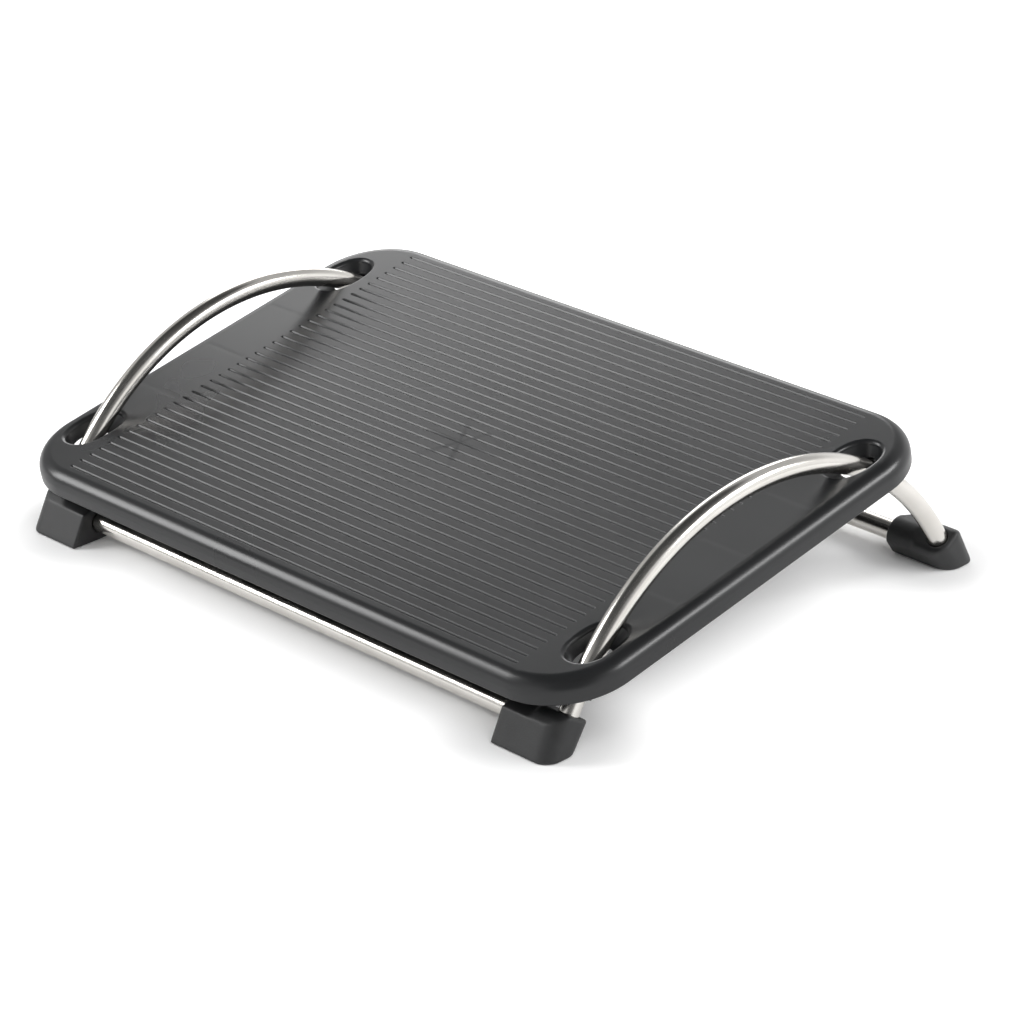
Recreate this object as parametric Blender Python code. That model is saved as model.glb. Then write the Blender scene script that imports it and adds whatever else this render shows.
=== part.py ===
# Tilting footrest: a ribbed plate that rocks along two arched tubes.
# Metres and degrees. +Z up, front at -Y, origin on the floor under the middle.
# The plate glides about the centre axis of the arches, which lies below the floor.

import bmesh
import bpy
from math import acos, ceil, cos, degrees, floor, pi, radians, sin, tan
from mathutils import Matrix, Vector

# Fits
SEAT_GAP = 0.0003
SCREW_CLEARANCE = 0.0003
GLIDE_CLEARANCE = 0.0003

# Footplate
PLATE_WIDTH = 0.508
PLATE_DEPTH = 0.332
PLATE_HEIGHT = 0.0165
PLATE_CORNER = 0.050
PLATE_EDGE_ROUND = 0.010
PLATE_WALL = 0.003
TUBE_FROM_PLATE_EDGE = 0.06087
TILT_BEFORE_STOP = 3.513

# Grooves of the tread
GROOVE_PITCH = 0.008
GROOVE_WIDTH = 0.0029
GROOVE_DEPTH = 0.0010
GROOVE_MARGIN_FRONT = 0.0135
GROOVE_MARGIN_SIDE = 0.0504
GROOVE_END_FLAT = 0.98

# Ribs under the plate
RIB_THICKNESS = 0.002
RIB_HEIGHT = 0.011
RIB_SPACING_Y = 0.058
RIB_COLUMNS = 7
RIB_LONG_ROWS = 3
RIB_ROWS = 5

# Dished slots where the tubes pass through the plate
SLOT_CENTRE_OFFSET = 0.0069
SLOT_LENGTH = 0.048
SLOT_WIDTH = 0.032
SLOT_LIP = 0.003
SLOT_SQUARENESS = 2.3
SLOT_COLLAR_WALL = 0.003
SLOT_COLLAR_DEPTH = 0.009
SLOT_TUBE_MARGIN = 0.0026
SLOT_SIDE_MARGIN = 0.0032

# Arched tubes
ARCH_RADIUS = 0.1882
ARCH_HEIGHT = 0.12215
ARCH_END_LIFT = 0.00862
ARCH_INSET = 0.0265
TUBE_DIAMETER = 0.0127
TUBE_WALL = 0.0012
ARCH_STEPS = 28

# Straight cross tubes, placed from the ends of the arches
CROSS_TUBE_SETBACK = 0.0019
CROSS_TUBE_RISE = 0.0038
CROSS_TUBE_SHORT = 0.0085

# Feet, placed from the ends of the arches
FOOT_OUTWARD = 0.0218
FOOT_INWARD = 0.0064
FOOT_OUTER_LEAN = 26.8
FOOT_INNER_LEAN = 35.0
FOOT_INNER_REACH = 0.0366
FOOT_OUTER_REACH = 0.0105
FOOT_END_DRAFT = 0.0006
FOOT_END_ROUND = 0.0045
FOOT_PLAN_CORNER = 0.012
FOOT_RIDGE_HEIGHT = 0.0209
FOOT_SHOULDER_IN = 0.0047
FOOT_SHOULDER_UP = 0.0033
FOOT_BROW_WALL = 0.00245
FOOT_BROW_ROUND = 0.0025
FOOT_HEEL_ROUND = 0.0045
FOOT_SLEEVE_WALL = 0.0055
FOOT_SLEEVE_LENGTH = 0.019
FOOT_SLEEVE_FIRST_TURN = 66.0
FOOT_SLEEVE_LAST_TURN = 200.0
FOOT_BLEND_LENGTH = 0.006
FOOT_SOCKET_DEPTH = 0.0148
FOOT_LIFT = 0.0005
FOOT_SKIRT = 0.006
FOOT_TOP = 0.034

# Rubber pads under the feet
PAD_THICKNESS = 0.0020
PAD_MARGIN = 0.0028

# Guide blocks, which hold the plate on the tubes
BLOCK_WALL = 0.00165
BLOCK_LENGTH = 0.0094
BLOCK_BORE_RUNOUT = 0.017
EAR_THICKNESS = 0.004
EAR_SPAN = 0.034
EAR_DEPTH = 0.011
EAR_OFFSET = 0.0195
EAR_SCREW_SPACING = 0.028
BOSS_RADIUS = 0.0040

# Glide liners inside the guide blocks, with a flange that meets the foot at the end of travel
LINER_WALL = 0.0010
LINER_FLANGE = 0.0013
LINER_FLANGE_RADIUS = 0.0093
LINER_ENTRY = 0.0006

# Screws and the plugs that they grip
SCREW_SHANK = 0.0030
SCREW_HEAD = 0.0068
SCREW_HEAD_HEIGHT = 0.0018
SCREW_HEAD_CHAMFER = 0.0006
SCREW_SOCKET = 0.0026
SCREW_SOCKET_DEPTH = 0.0010
GUIDE_SCREW_LENGTH = 0.0082
ARCH_SCREW_LENGTH = 0.0115
ARCH_SCREW_REACH = 0.0032
CROSS_SCREW_LENGTH = 0.0095
PLUG_LENGTH = 0.014
CROSS_PLUG_LENGTH = 0.0208
CROSS_SCREW_INSET = 0.014

# Facets
ROUND_SIDES = 16
SMALL_SIDES = 10
CORNER_STEPS = 8
EDGE_STEPS = 5
SLOT_SIDES = 24
SLOT_LIP_TURNS = (0.0, 35.0, 65.0)
FOOT_END_TURNS = (0.0, 35.0, 70.0)

# Worked out from the sizes above
TUBE_RADIUS = TUBE_DIAMETER / 2
BORE_RADIUS = TUBE_RADIUS + SEAT_GAP
TUBE_INSIDE = TUBE_RADIUS - TUBE_WALL
PLUG_RADIUS = TUBE_INSIDE - SEAT_GAP
ARCH_X = PLATE_WIDTH / 2 - ARCH_INSET
AXIS_Z = ARCH_HEIGHT - ARCH_RADIUS - TUBE_RADIUS
ARCH_HALF_ANGLE = degrees(acos((ARCH_END_LIFT - AXIS_Z) / ARCH_RADIUS))
ARCH_STEP = ARCH_HALF_ANGLE * 2 / ARCH_STEPS
ARCH_END_Y = ARCH_RADIUS * sin(radians(ARCH_HALF_ANGLE))
TUBE_CROSSING_Y = PLATE_DEPTH / 2 - TUBE_FROM_PLATE_EDGE
PLATE_TOP_ABOVE_AXIS = (ARCH_RADIUS ** 2 - TUBE_CROSSING_Y ** 2) ** 0.5
GROOVE_REACH_Y = PLATE_DEPTH / 2 - GROOVE_MARGIN_FRONT
GROOVE_COUNT = 2 * floor(GROOVE_REACH_Y / GROOVE_PITCH) + 1
GROOVE_LENGTH = PLATE_WIDTH - 2 * GROOVE_MARGIN_SIDE
RIB_SPACING_X = GROOVE_LENGTH / (RIB_COLUMNS - 1)
SLOT_CENTRE_Y = TUBE_CROSSING_Y + SLOT_CENTRE_OFFSET
EAR_CENTRE_Y = SLOT_CENTRE_Y + EAR_OFFSET
CROSS_TUBE_Y = ARCH_END_Y - CROSS_TUBE_SETBACK
CROSS_TUBE_Z = ARCH_END_LIFT + CROSS_TUBE_RISE
CROSS_TUBE_LENGTH = 2 * (ARCH_X - CROSS_TUBE_SHORT)
CROSS_SCREW_X = CROSS_TUBE_LENGTH / 2 - CROSS_SCREW_INSET
FOOT_OUTER_BOTTOM = ARCH_END_Y + FOOT_OUTWARD
FOOT_INNER_BOTTOM = ARCH_END_Y - FOOT_INWARD
FOOT_INNER_END = ARCH_X - FOOT_INNER_REACH
FOOT_OUTER_END = ARCH_X + FOOT_OUTER_REACH
STOP_ANGLE = ARCH_HALF_ANGLE - degrees(FOOT_SOCKET_DEPTH / ARCH_RADIUS)
LINER_INSIDE = TUBE_RADIUS + GLIDE_CLEARANCE
LINER_OUTSIDE = LINER_INSIDE + LINER_WALL
BLOCK_BORE = LINER_OUTSIDE + SEAT_GAP
BLOCK_RADIUS = BLOCK_BORE + BLOCK_WALL
SEAT_Z = PLATE_TOP_ABOVE_AXIS - SLOT_COLLAR_DEPTH - SEAT_GAP
GUIDE_SEAT_Z = SEAT_Z - EAR_THICKNESS - SEAT_GAP
BLOCK_START_ANGLE = degrees(acos(SEAT_Z / (ARCH_RADIUS + BLOCK_RADIUS)))
BLOCK_END_ANGLE = BLOCK_START_ANGLE + degrees(BLOCK_LENGTH / ARCH_RADIUS)
FLANGE_START_ANGLE = BLOCK_END_ANGLE + degrees(SEAT_GAP / ARCH_RADIUS)
FLANGE_END_ANGLE = FLANGE_START_ANGLE + degrees(LINER_FLANGE / ARCH_RADIUS)
PLATE_TILT = STOP_ANGLE - FLANGE_END_ANGLE - TILT_BEFORE_STOP
OUTER_SLOPE = tan(radians(FOOT_OUTER_LEAN))
INNER_SLOPE = tan(radians(FOOT_INNER_LEAN))
HOLE_RADIUS = SCREW_SHANK / 2 + SCREW_CLEARANCE
HEAD_POCKET_RADIUS = SCREW_HEAD / 2 + SCREW_CLEARANCE
HEAD_POCKET_DEPTH = SCREW_HEAD_HEIGHT + SEAT_GAP
CUT_OVERSHOOT = 0.002
PAD_ROOF_Z = PAD_THICKNESS + SEAT_GAP
SCREW_ROOF_Z = PAD_ROOF_Z + HEAD_POCKET_DEPTH


# Scene and materials

def clear_scene():
    for item in list(bpy.data.objects):
        bpy.data.objects.remove(item, do_unlink=True)


def material(name, colour, roughness, metallic=0.0):
    made = bpy.data.materials.new(name)
    made.use_nodes = True
    shader = made.node_tree.nodes["Principled BSDF"]
    shader.inputs["Base Color"].default_value = (*colour, 1.0)
    shader.inputs["Roughness"].default_value = roughness
    shader.inputs["Metallic"].default_value = metallic
    made.diffuse_color = (*colour, 1.0)
    return made


def make_object(name, mesh_builder, finish=None, sharp=30.0):
    mesh = bpy.data.meshes.new(name)
    bmesh.ops.recalc_face_normals(mesh_builder, faces=mesh_builder.faces)
    mesh_builder.to_mesh(mesh)
    mesh_builder.free()
    mesh.shade_smooth()
    mesh.set_sharp_from_angle(angle=radians(sharp))
    if finish is not None:
        mesh.materials.append(finish)
    made = bpy.data.objects.new(name, mesh)
    bpy.context.collection.objects.link(made)
    return made


def place(piece, location=(0.0, 0.0, 0.0), turn=0.0, parent=None):
    piece.location = location
    piece.rotation_euler = (0.0, 0.0, radians(turn))
    piece.parent = parent
    return piece


def as_cutter(piece, parent=None):
    piece.hide_render = True
    piece.display_type = "WIRE"
    piece.parent = parent
    return piece


def boolean(piece, cutter, operation="DIFFERENCE"):
    step = piece.modifiers.new(cutter.name, "BOOLEAN")
    step.operation = operation
    step.solver = "EXACT"
    step.object = cutter


# Mesh building blocks

def add_loft(target, rings, ring_is_loop=False):
    rows = [[target.verts.new(point) for point in ring] for ring in rings]
    pairs = list(zip(rows, rows[1:]))
    if ring_is_loop:
        pairs.append((rows[-1], rows[0]))
    for low, high in pairs:
        count = len(low)
        for i in range(count):
            j = (i + 1) % count
            target.faces.new((low[i], low[j], high[j], high[i]))
    if not ring_is_loop:
        target.faces.new(rows[0])
        target.faces.new(reversed(rows[-1]))


def loft(rings, ring_is_loop=False):
    target = bmesh.new()
    add_loft(target, rings, ring_is_loop)
    return target


def circle(radius, z, sides, centre=(0.0, 0.0)):
    ring = []
    for i in range(sides):
        angle = 2 * pi * i / sides
        ring.append(Vector((centre[0] + radius * cos(angle), centre[1] + radius * sin(angle), z)))
    return ring


def turned(profile, sides):
    return loft([circle(radius, z, sides) for radius, z in profile])


def rounded_rectangle(low, high, corner, z, steps=CORNER_STEPS):
    centres = (
        (high[0] - corner, high[1] - corner, 0.0),
        (low[0] + corner, high[1] - corner, 90.0),
        (low[0] + corner, low[1] + corner, 180.0),
        (high[0] - corner, low[1] + corner, 270.0),
    )
    ring = []
    for x, y, start in centres:
        for i in range(steps + 1):
            angle = radians(start + 90.0 * i / steps)
            ring.append(Vector((x + corner * cos(angle), y + corner * sin(angle), z)))
    return ring


def box(low, high):
    corners = [(low[0], low[1]), (high[0], low[1]), (high[0], high[1]), (low[0], high[1])]
    return [[Vector((x, y, z)) for x, y in corners] for z in (low[2], high[2])]


def oval(centre, half_x, half_y, z):
    ring = []
    power = 2 / SLOT_SQUARENESS
    for i in range(SLOT_SIDES):
        angle = 2 * pi * i / SLOT_SIDES
        across = abs(cos(angle)) ** power * (1 if cos(angle) >= 0 else -1)
        along = abs(sin(angle)) ** power * (1 if sin(angle) >= 0 else -1)
        ring.append(Vector((centre[0] + half_x * across, centre[1] + half_y * along, z)))
    return ring


# The arc that both tubes and everything on them follow

def arc_ring(angle, radius, sides=ROUND_SIDES):
    radial = Vector((0.0, sin(radians(angle)), cos(radians(angle))))
    side = Vector((1.0, 0.0, 0.0))
    ring = []
    for i in range(sides):
        turn = 2 * pi * i / sides
        ring.append(radial * (ARCH_RADIUS + radius * cos(turn)) + side * radius * sin(turn))
    return ring


def arc_stations(start, end):
    inside = [
        ARCH_STEP * i
        for i in range(ceil(start / ARCH_STEP), floor(end / ARCH_STEP) + 1)
        if start + ARCH_STEP / 100 < ARCH_STEP * i < end - ARCH_STEP / 100
    ]
    return [start, *inside, end]


def arc_tube(start, end, outside, inside):
    stations = arc_stations(start, end)
    rings = [arc_ring(angle, outside) for angle in stations]
    rings += [arc_ring(angle, inside) for angle in reversed(stations)]
    return loft(rings, ring_is_loop=True)


def arc_rod(start, end, radius):
    return loft([arc_ring(angle, radius) for angle in arc_stations(start, end)])


# Screws, plugs and tubes

def screw_mesh(length):
    socket = SCREW_SOCKET / 2
    profile = [
        (socket, -SCREW_HEAD_HEIGHT + SCREW_SOCKET_DEPTH),
        (socket, -SCREW_HEAD_HEIGHT),
        (SCREW_HEAD / 2 - SCREW_HEAD_CHAMFER, -SCREW_HEAD_HEIGHT),
        (SCREW_HEAD / 2, -SCREW_HEAD_HEIGHT + SCREW_HEAD_CHAMFER),
        (SCREW_HEAD / 2, 0.0),
        (SCREW_SHANK / 2, 0.0),
        (SCREW_SHANK / 2, length),
    ]
    return turned(profile, SMALL_SIDES)


def add_cylinder_x(target, radius, start, end, centre, sides=ROUND_SIDES):
    rings = []
    for x in (start, end):
        ring = circle(radius, 0.0, sides)
        rings.append([Vector((x, centre[0] + point.y, centre[1] + point.x)) for point in ring])
    add_loft(target, rings)


def cross_tube(name, end, finish):
    half = CROSS_TUBE_LENGTH / 2
    rings = []
    for x, radius in ((-half, TUBE_RADIUS), (half, TUBE_RADIUS), (half, TUBE_INSIDE), (-half, TUBE_INSIDE)):
        rings.append([Vector((x, point.y, point.x)) for point in circle(radius, 0.0, ROUND_SIDES)])
    tube = make_object(name, loft(rings, ring_is_loop=True), finish)
    place(tube, (0.0, end * CROSS_TUBE_Y, CROSS_TUBE_Z))
    holes = bmesh.new()
    for side in (-1, 1):
        centre = (side * CROSS_SCREW_X, 0.0)
        add_loft(holes, [circle(HOLE_RADIUS, z, SMALL_SIDES, centre) for z in (-BORE_RADIUS, 0.0)])
    drill = as_cutter(make_object(name + "_screw_holes", holes), tube)
    boolean(tube, drill)
    return tube


def arch_tube(name, side, finish):
    mesh = arc_tube(-ARCH_HALF_ANGLE, ARCH_HALF_ANGLE, TUBE_RADIUS, TUBE_INSIDE)
    return place(make_object(name, mesh, finish), (side * ARCH_X, 0.0, AXIS_Z))


def arch_screw_direction(end):
    angle = radians(ARCH_HALF_ANGLE)
    return Vector((0.0, end * cos(angle), -sin(angle)))


def arch_end(end):
    angle = radians(ARCH_HALF_ANGLE)
    return Vector((0.0, end * ARCH_RADIUS * sin(angle), ARCH_RADIUS * cos(angle)))


def arch_plug(name, side, end, finish):
    start = ARCH_HALF_ANGLE - degrees(PLUG_LENGTH / ARCH_RADIUS)
    mesh = arc_rod(start, ARCH_HALF_ANGLE, PLUG_RADIUS)
    plug = make_object(name, mesh, finish)
    place(plug, (side * ARCH_X, 0.0, AXIS_Z), 0.0 if end > 0 else 180.0)
    depth = ARCH_SCREW_LENGTH - ARCH_SCREW_REACH + SCREW_CLEARANCE
    drill = turned([(HOLE_RADIUS, -CUT_OVERSHOOT), (HOLE_RADIUS, depth)], SMALL_SIDES)
    drill.transform(screw_frame(arch_end(1), -arch_screw_direction(1)))
    boolean(plug, as_cutter(make_object(name + "_pilot", drill), plug))
    return plug


def cross_plug(name, side, end, finish):
    outer = CROSS_TUBE_LENGTH / 2 - SEAT_GAP
    mesh = bmesh.new()
    add_cylinder_x(mesh, PLUG_RADIUS, outer - CROSS_PLUG_LENGTH, outer, (0.0, 0.0))
    plug = make_object(name, mesh, finish)
    place(plug, (0.0, end * CROSS_TUBE_Y, CROSS_TUBE_Z), 0.0 if side > 0 else 180.0)
    centre = (CROSS_SCREW_X, 0.0)
    tip = SCREW_ROOF_Z + CROSS_SCREW_LENGTH - CROSS_TUBE_Z + SCREW_CLEARANCE
    drill = loft([circle(HOLE_RADIUS, z, SMALL_SIDES, centre) for z in (-TUBE_RADIUS, tip)])
    boolean(plug, as_cutter(make_object(name + "_pilot", drill), plug))
    return plug


def screw_frame(head_seat, along):
    # Turns a screw's own +Z, from head to tip, onto the given direction
    turn = Vector((0.0, 0.0, 1.0)).rotation_difference(along).to_matrix().to_4x4()
    return Matrix.Translation(head_seat) @ turn


# Footplate, drawn with its top face at z = 0

def plate_outline(inset, z):
    half_x = PLATE_WIDTH / 2 - inset
    half_y = PLATE_DEPTH / 2 - inset
    return rounded_rectangle((-half_x, -half_y), (half_x, half_y), PLATE_CORNER - inset, z)


def plate_blank():
    rings = [plate_outline(0.0, -PLATE_HEIGHT)]
    for i in range(EDGE_STEPS + 1):
        angle = radians(90.0 * i / EDGE_STEPS)
        inset = PLATE_EDGE_ROUND * (1 - cos(angle))
        rings.append(plate_outline(inset, -PLATE_EDGE_ROUND * (1 - sin(angle))))
    return loft(rings)


def groove_cutter():
    mesh = bmesh.new()
    half_length = GROOVE_LENGTH / 2
    half_width = GROOVE_WIDTH / 2
    for i in range(GROOVE_COUNT):
        y = (i - (GROOVE_COUNT - 1) / 2) * GROOVE_PITCH
        low = (-half_length, y - half_width)
        high = (half_length, y + half_width)
        rings = [
            rounded_rectangle(low, high, half_width * GROOVE_END_FLAT, z, 2)
            for z in (-GROOVE_DEPTH, CUT_OVERSHOOT)
        ]
        add_loft(mesh, rings)
    return mesh


def slot_rings():
    # From above the face down the rounded lip and the funnel, which follows the tube outwards
    tube_in = ARCH_RADIUS - TUBE_RADIUS
    tube_out = ARCH_RADIUS + TUBE_RADIUS
    foot_z = PLATE_TOP_ABOVE_AXIS - SLOT_COLLAR_DEPTH
    low_y = (tube_in ** 2 - foot_z ** 2) ** 0.5 - SLOT_TUBE_MARGIN
    high_y = (tube_out ** 2 - foot_z ** 2) ** 0.5 + SLOT_TUBE_MARGIN
    bottom = ((low_y + high_y) / 2, TUBE_RADIUS + SLOT_SIDE_MARGIN, (high_y - low_y) / 2)
    throat = (SLOT_CENTRE_Y, SLOT_WIDTH / 2 - SLOT_LIP, SLOT_LENGTH / 2 - SLOT_LIP)
    rings = [(SLOT_CENTRE_Y, SLOT_WIDTH / 2, SLOT_LENGTH / 2, CUT_OVERSHOOT)]
    for turn in SLOT_LIP_TURNS:
        grow = SLOT_LIP * (1 - sin(radians(turn)))
        drop = SLOT_LIP * (1 - cos(radians(turn)))
        rings.append((throat[0], throat[1] + grow, throat[2] + grow, -drop))
    rings.append((*throat, -SLOT_LIP))
    rings.append((*bottom, -SLOT_COLLAR_DEPTH))
    rings.append((*bottom, -SLOT_COLLAR_DEPTH - CUT_OVERSHOOT))
    return rings


def slot_cutter():
    mesh = bmesh.new()
    for side in (-1, 1):
        for end in (-1, 1):
            rings = [
                oval((side * ARCH_X, end * centre), half_x, half_y, z)
                for centre, half_x, half_y, z in slot_rings()
            ]
            add_loft(mesh, rings)
    return mesh


def collar_cutter():
    mesh = bmesh.new()
    half_x = SLOT_WIDTH / 2 + SLOT_COLLAR_WALL
    half_y = SLOT_LENGTH / 2 + SLOT_COLLAR_WALL
    for side in (-1, 1):
        for end in (-1, 1):
            centre = (side * ARCH_X, end * SLOT_CENTRE_Y)
            rings = [oval(centre, half_x, half_y, z) for z in (-SLOT_COLLAR_DEPTH, 0.0)]
            add_loft(mesh, rings)
    return mesh


def guide_screw_places():
    return [
        (side * ARCH_X + hand * EAR_SCREW_SPACING / 2, end * EAR_CENTRE_Y)
        for side in (-1, 1)
        for end in (-1, 1)
        for hand in (-1, 1)
    ]


def boss_cutter(radius, low, high):
    mesh = bmesh.new()
    for centre in guide_screw_places():
        add_loft(mesh, [circle(radius, z, SMALL_SIDES, centre) for z in (low, high)])
    return mesh


def rib_cutter(along_x):
    mesh = bmesh.new()
    half = RIB_THICKNESS / 2
    low_z = -PLATE_WALL - RIB_HEIGHT
    column_end = RIB_SPACING_X * (RIB_COLUMNS - 1) / 2
    if along_x:
        for i in range(RIB_ROWS):
            row = i - (RIB_ROWS - 1) / 2
            is_long = abs(row) <= (RIB_LONG_ROWS - 1) / 2
            reach = PLATE_WIDTH / 2 if is_long else column_end
            y = row * RIB_SPACING_Y
            add_loft(mesh, box((-reach, y - half, low_z), (reach, y + half, 0.0)))
    else:
        for i in range(RIB_COLUMNS):
            x = (i - (RIB_COLUMNS - 1) / 2) * RIB_SPACING_X
            reach = PLATE_DEPTH / 2
            add_loft(mesh, box((x - half, -reach, low_z), (x + half, reach, 0.0)))
    return mesh


def footplate(parent, finish):
    plate = make_object("footplate", plate_blank(), finish)
    place(plate, (0.0, 0.0, PLATE_TOP_ABOVE_AXIS), 0.0, parent)
    hollow_rings = [
        plate_outline(PLATE_WALL, -PLATE_HEIGHT - CUT_OVERSHOOT),
        plate_outline(PLATE_WALL, -PLATE_EDGE_ROUND),
        plate_outline(PLATE_WALL + PLATE_EDGE_ROUND / 2, -PLATE_WALL),
    ]
    hollow = as_cutter(make_object("plate_hollow", loft(hollow_rings)), plate)
    bosses = boss_cutter(BOSS_RADIUS, -SLOT_COLLAR_DEPTH, 0.0)
    kept = {
        "plate_ribs_long": rib_cutter(True),
        "plate_ribs_cross": rib_cutter(False),
        "slot_collars": collar_cutter(),
        "guide_bosses": bosses,
    }
    for name, mesh in kept.items():
        boolean(hollow, as_cutter(make_object(name, mesh), plate))
    pilot_top = GUIDE_SEAT_Z + GUIDE_SCREW_LENGTH + SCREW_CLEARANCE - PLATE_TOP_ABOVE_AXIS
    pilots = boss_cutter(HOLE_RADIUS, -SLOT_COLLAR_DEPTH - CUT_OVERSHOOT, pilot_top)
    boolean(plate, hollow)
    boolean(plate, as_cutter(make_object("plate_grooves", groove_cutter()), plate))
    boolean(plate, as_cutter(make_object("plate_slots", slot_cutter()), plate))
    boolean(plate, as_cutter(make_object("plate_pilots", pilots), plate))
    return plate


# Guide blocks and liners, drawn about the centre axis of the arches

def guide_block(name, side, end, parent, finish):
    body = make_object(name, arc_rod(BLOCK_START_ANGLE, BLOCK_END_ANGLE, BLOCK_RADIUS), finish)
    place(body, (side * ARCH_X, 0.0, 0.0), 0.0 if end > 0 else 180.0, parent)
    half_span = EAR_SPAN / 2
    low = (-half_span, EAR_CENTRE_Y - EAR_DEPTH / 2)
    high = (half_span, EAR_CENTRE_Y + EAR_DEPTH / 2)
    ear_rings = [rounded_rectangle(low, high, BOSS_RADIUS, z, 3) for z in (SEAT_Z - EAR_THICKNESS, SEAT_Z)]
    boolean(body, as_cutter(make_object(name + "_ears", loft(ear_rings)), body), "UNION")
    runout = degrees(BLOCK_BORE_RUNOUT / ARCH_RADIUS)
    bore_mesh = arc_rod(BLOCK_START_ANGLE - runout, BLOCK_END_ANGLE + runout, BLOCK_BORE)
    bore = as_cutter(make_object(name + "_bore", bore_mesh), body)
    boolean(body, bore)
    holes = bmesh.new()
    for hand in (-1, 1):
        centre = (hand * EAR_SCREW_SPACING / 2, EAR_CENTRE_Y)
        heights = (SEAT_Z - EAR_THICKNESS - CUT_OVERSHOOT, SEAT_Z + CUT_OVERSHOOT)
        add_loft(holes, [circle(HOLE_RADIUS, z, SMALL_SIDES, centre) for z in heights])
    boolean(body, as_cutter(make_object(name + "_screw_holes", holes), body))
    return body


def glide_liner(name, side, end, parent, finish):
    start = BLOCK_START_ANGLE + degrees(LINER_ENTRY / ARCH_RADIUS)
    rings = [
        arc_ring(start, LINER_OUTSIDE),
        arc_ring(FLANGE_START_ANGLE, LINER_OUTSIDE),
        arc_ring(FLANGE_START_ANGLE, LINER_FLANGE_RADIUS),
        arc_ring(FLANGE_END_ANGLE, LINER_FLANGE_RADIUS),
        arc_ring(FLANGE_END_ANGLE, LINER_INSIDE),
        arc_ring(start, LINER_INSIDE),
    ]
    liner = make_object(name, loft(rings, ring_is_loop=True), finish)
    return place(liner, (side * ARCH_X, 0.0, 0.0), 0.0 if end > 0 else 180.0, parent)


# Feet, drawn at the rear right and mirrored to the other corners

def line_crossing(point_a, along_a, point_b, along_b):
    across = along_a.x * along_b.y - along_a.y * along_b.x
    offset = point_b - point_a
    reach = (offset.x * along_b.y - offset.y * along_b.x) / across
    return point_a + along_a * reach


def fillet(before, corner, after, radius, steps):
    to_before = (before - corner).normalized()
    to_after = (after - corner).normalized()
    half = to_before.angle(to_after) / 2
    centre = corner + (to_before + to_after).normalized() * (radius / sin(half))
    first = corner + to_before * (radius / tan(half)) - centre
    last = corner + to_after * (radius / tan(half)) - centre
    sweep = first.angle_signed(last)
    points = []
    for i in range(steps + 1):
        turned_by = Matrix.Rotation(-sweep * i / steps, 2)
        points.append(centre + turned_by @ first)
    return points


def foot_sections():
    # Two outlines in (outwards, up) with the same number of points:
    # a sleeve round the cross tube, and a crown cut square to the arched tube
    radial = Vector((sin(radians(STOP_ANGLE)), cos(radians(STOP_ANGLE))))
    axis = Vector((0.0, AXIS_Z))
    outer_foot = Vector((FOOT_OUTER_BOTTOM, 0.0))
    inner_foot = Vector((FOOT_INNER_BOTTOM, 0.0))
    ridge = Vector((FOOT_OUTER_BOTTOM - FOOT_RIDGE_HEIGHT * OUTER_SLOPE, FOOT_RIDGE_HEIGHT))
    shoulder = ridge + Vector((-FOOT_SHOULDER_IN, FOOT_SHOULDER_UP))
    brow = axis + radial * (ARCH_RADIUS + TUBE_RADIUS + FOOT_BROW_WALL)
    heel = line_crossing(inner_foot, Vector((-INNER_SLOPE, 1.0)), axis, radial)
    outer_low = outer_foot + Vector((FOOT_SKIRT, -FOOT_SKIRT))
    inner_low = inner_foot + Vector((-FOOT_SKIRT, -FOOT_SKIRT))
    crown_part = [outer_low, ridge, shoulder]
    crown_part += fillet(shoulder, brow, heel, FOOT_BROW_ROUND, 2)
    crown_part += fillet(brow, heel, inner_foot, FOOT_HEEL_ROUND, 3)
    crown_part.append(inner_low)
    middle = Vector((CROSS_TUBE_Y, CROSS_TUBE_Z))
    sleeve_part = [outer_low, ridge]
    arc_count = len(crown_part) - 3
    sweep = FOOT_SLEEVE_LAST_TURN - FOOT_SLEEVE_FIRST_TURN
    for i in range(arc_count):
        angle = radians(FOOT_SLEEVE_FIRST_TURN + sweep * i / (arc_count - 1))
        sleeve_part.append(middle + Vector((cos(angle), sin(angle))) * (TUBE_RADIUS + FOOT_SLEEVE_WALL))
    sleeve_part.append(inner_low)
    return sleeve_part, crown_part


def shrunk(outline, inset):
    # Moves the upper points towards the tube's end by the given length
    middle = Vector((ARCH_END_Y, ARCH_END_LIFT))
    inner = [point + (middle - point).normalized() * inset for point in outline[1:-1]]
    return [outline[0], *inner, outline[-1]]


def mirrored(point, side, end):
    return Vector((side * point[0], end * point[1], point[2]))


def foot_bar(side, end):
    sleeve_part, crown_part = foot_sections()
    halfway = [low.lerp(high, 0.6) for low, high in zip(sleeve_part, crown_part)]
    blend_start = FOOT_INNER_END + FOOT_SLEEVE_LENGTH
    stations = [
        (FOOT_INNER_END, sleeve_part),
        (blend_start, sleeve_part),
        (blend_start + FOOT_BLEND_LENGTH / 2, halfway),
        (blend_start + FOOT_BLEND_LENGTH, crown_part),
    ]
    round_start = FOOT_OUTER_END - FOOT_END_ROUND
    for turn in FOOT_END_TURNS:
        x = round_start + FOOT_END_ROUND * sin(radians(turn))
        stations.append((x, shrunk(crown_part, FOOT_END_ROUND * (1 - cos(radians(turn))))))
    stations.append((FOOT_OUTER_END + SEAT_GAP, shrunk(crown_part, FOOT_END_ROUND)))
    rings = []
    for x, outline in stations:
        rings.append([mirrored((x, point.x, point.y), side, end) for point in outline])
    return loft(rings)


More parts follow.
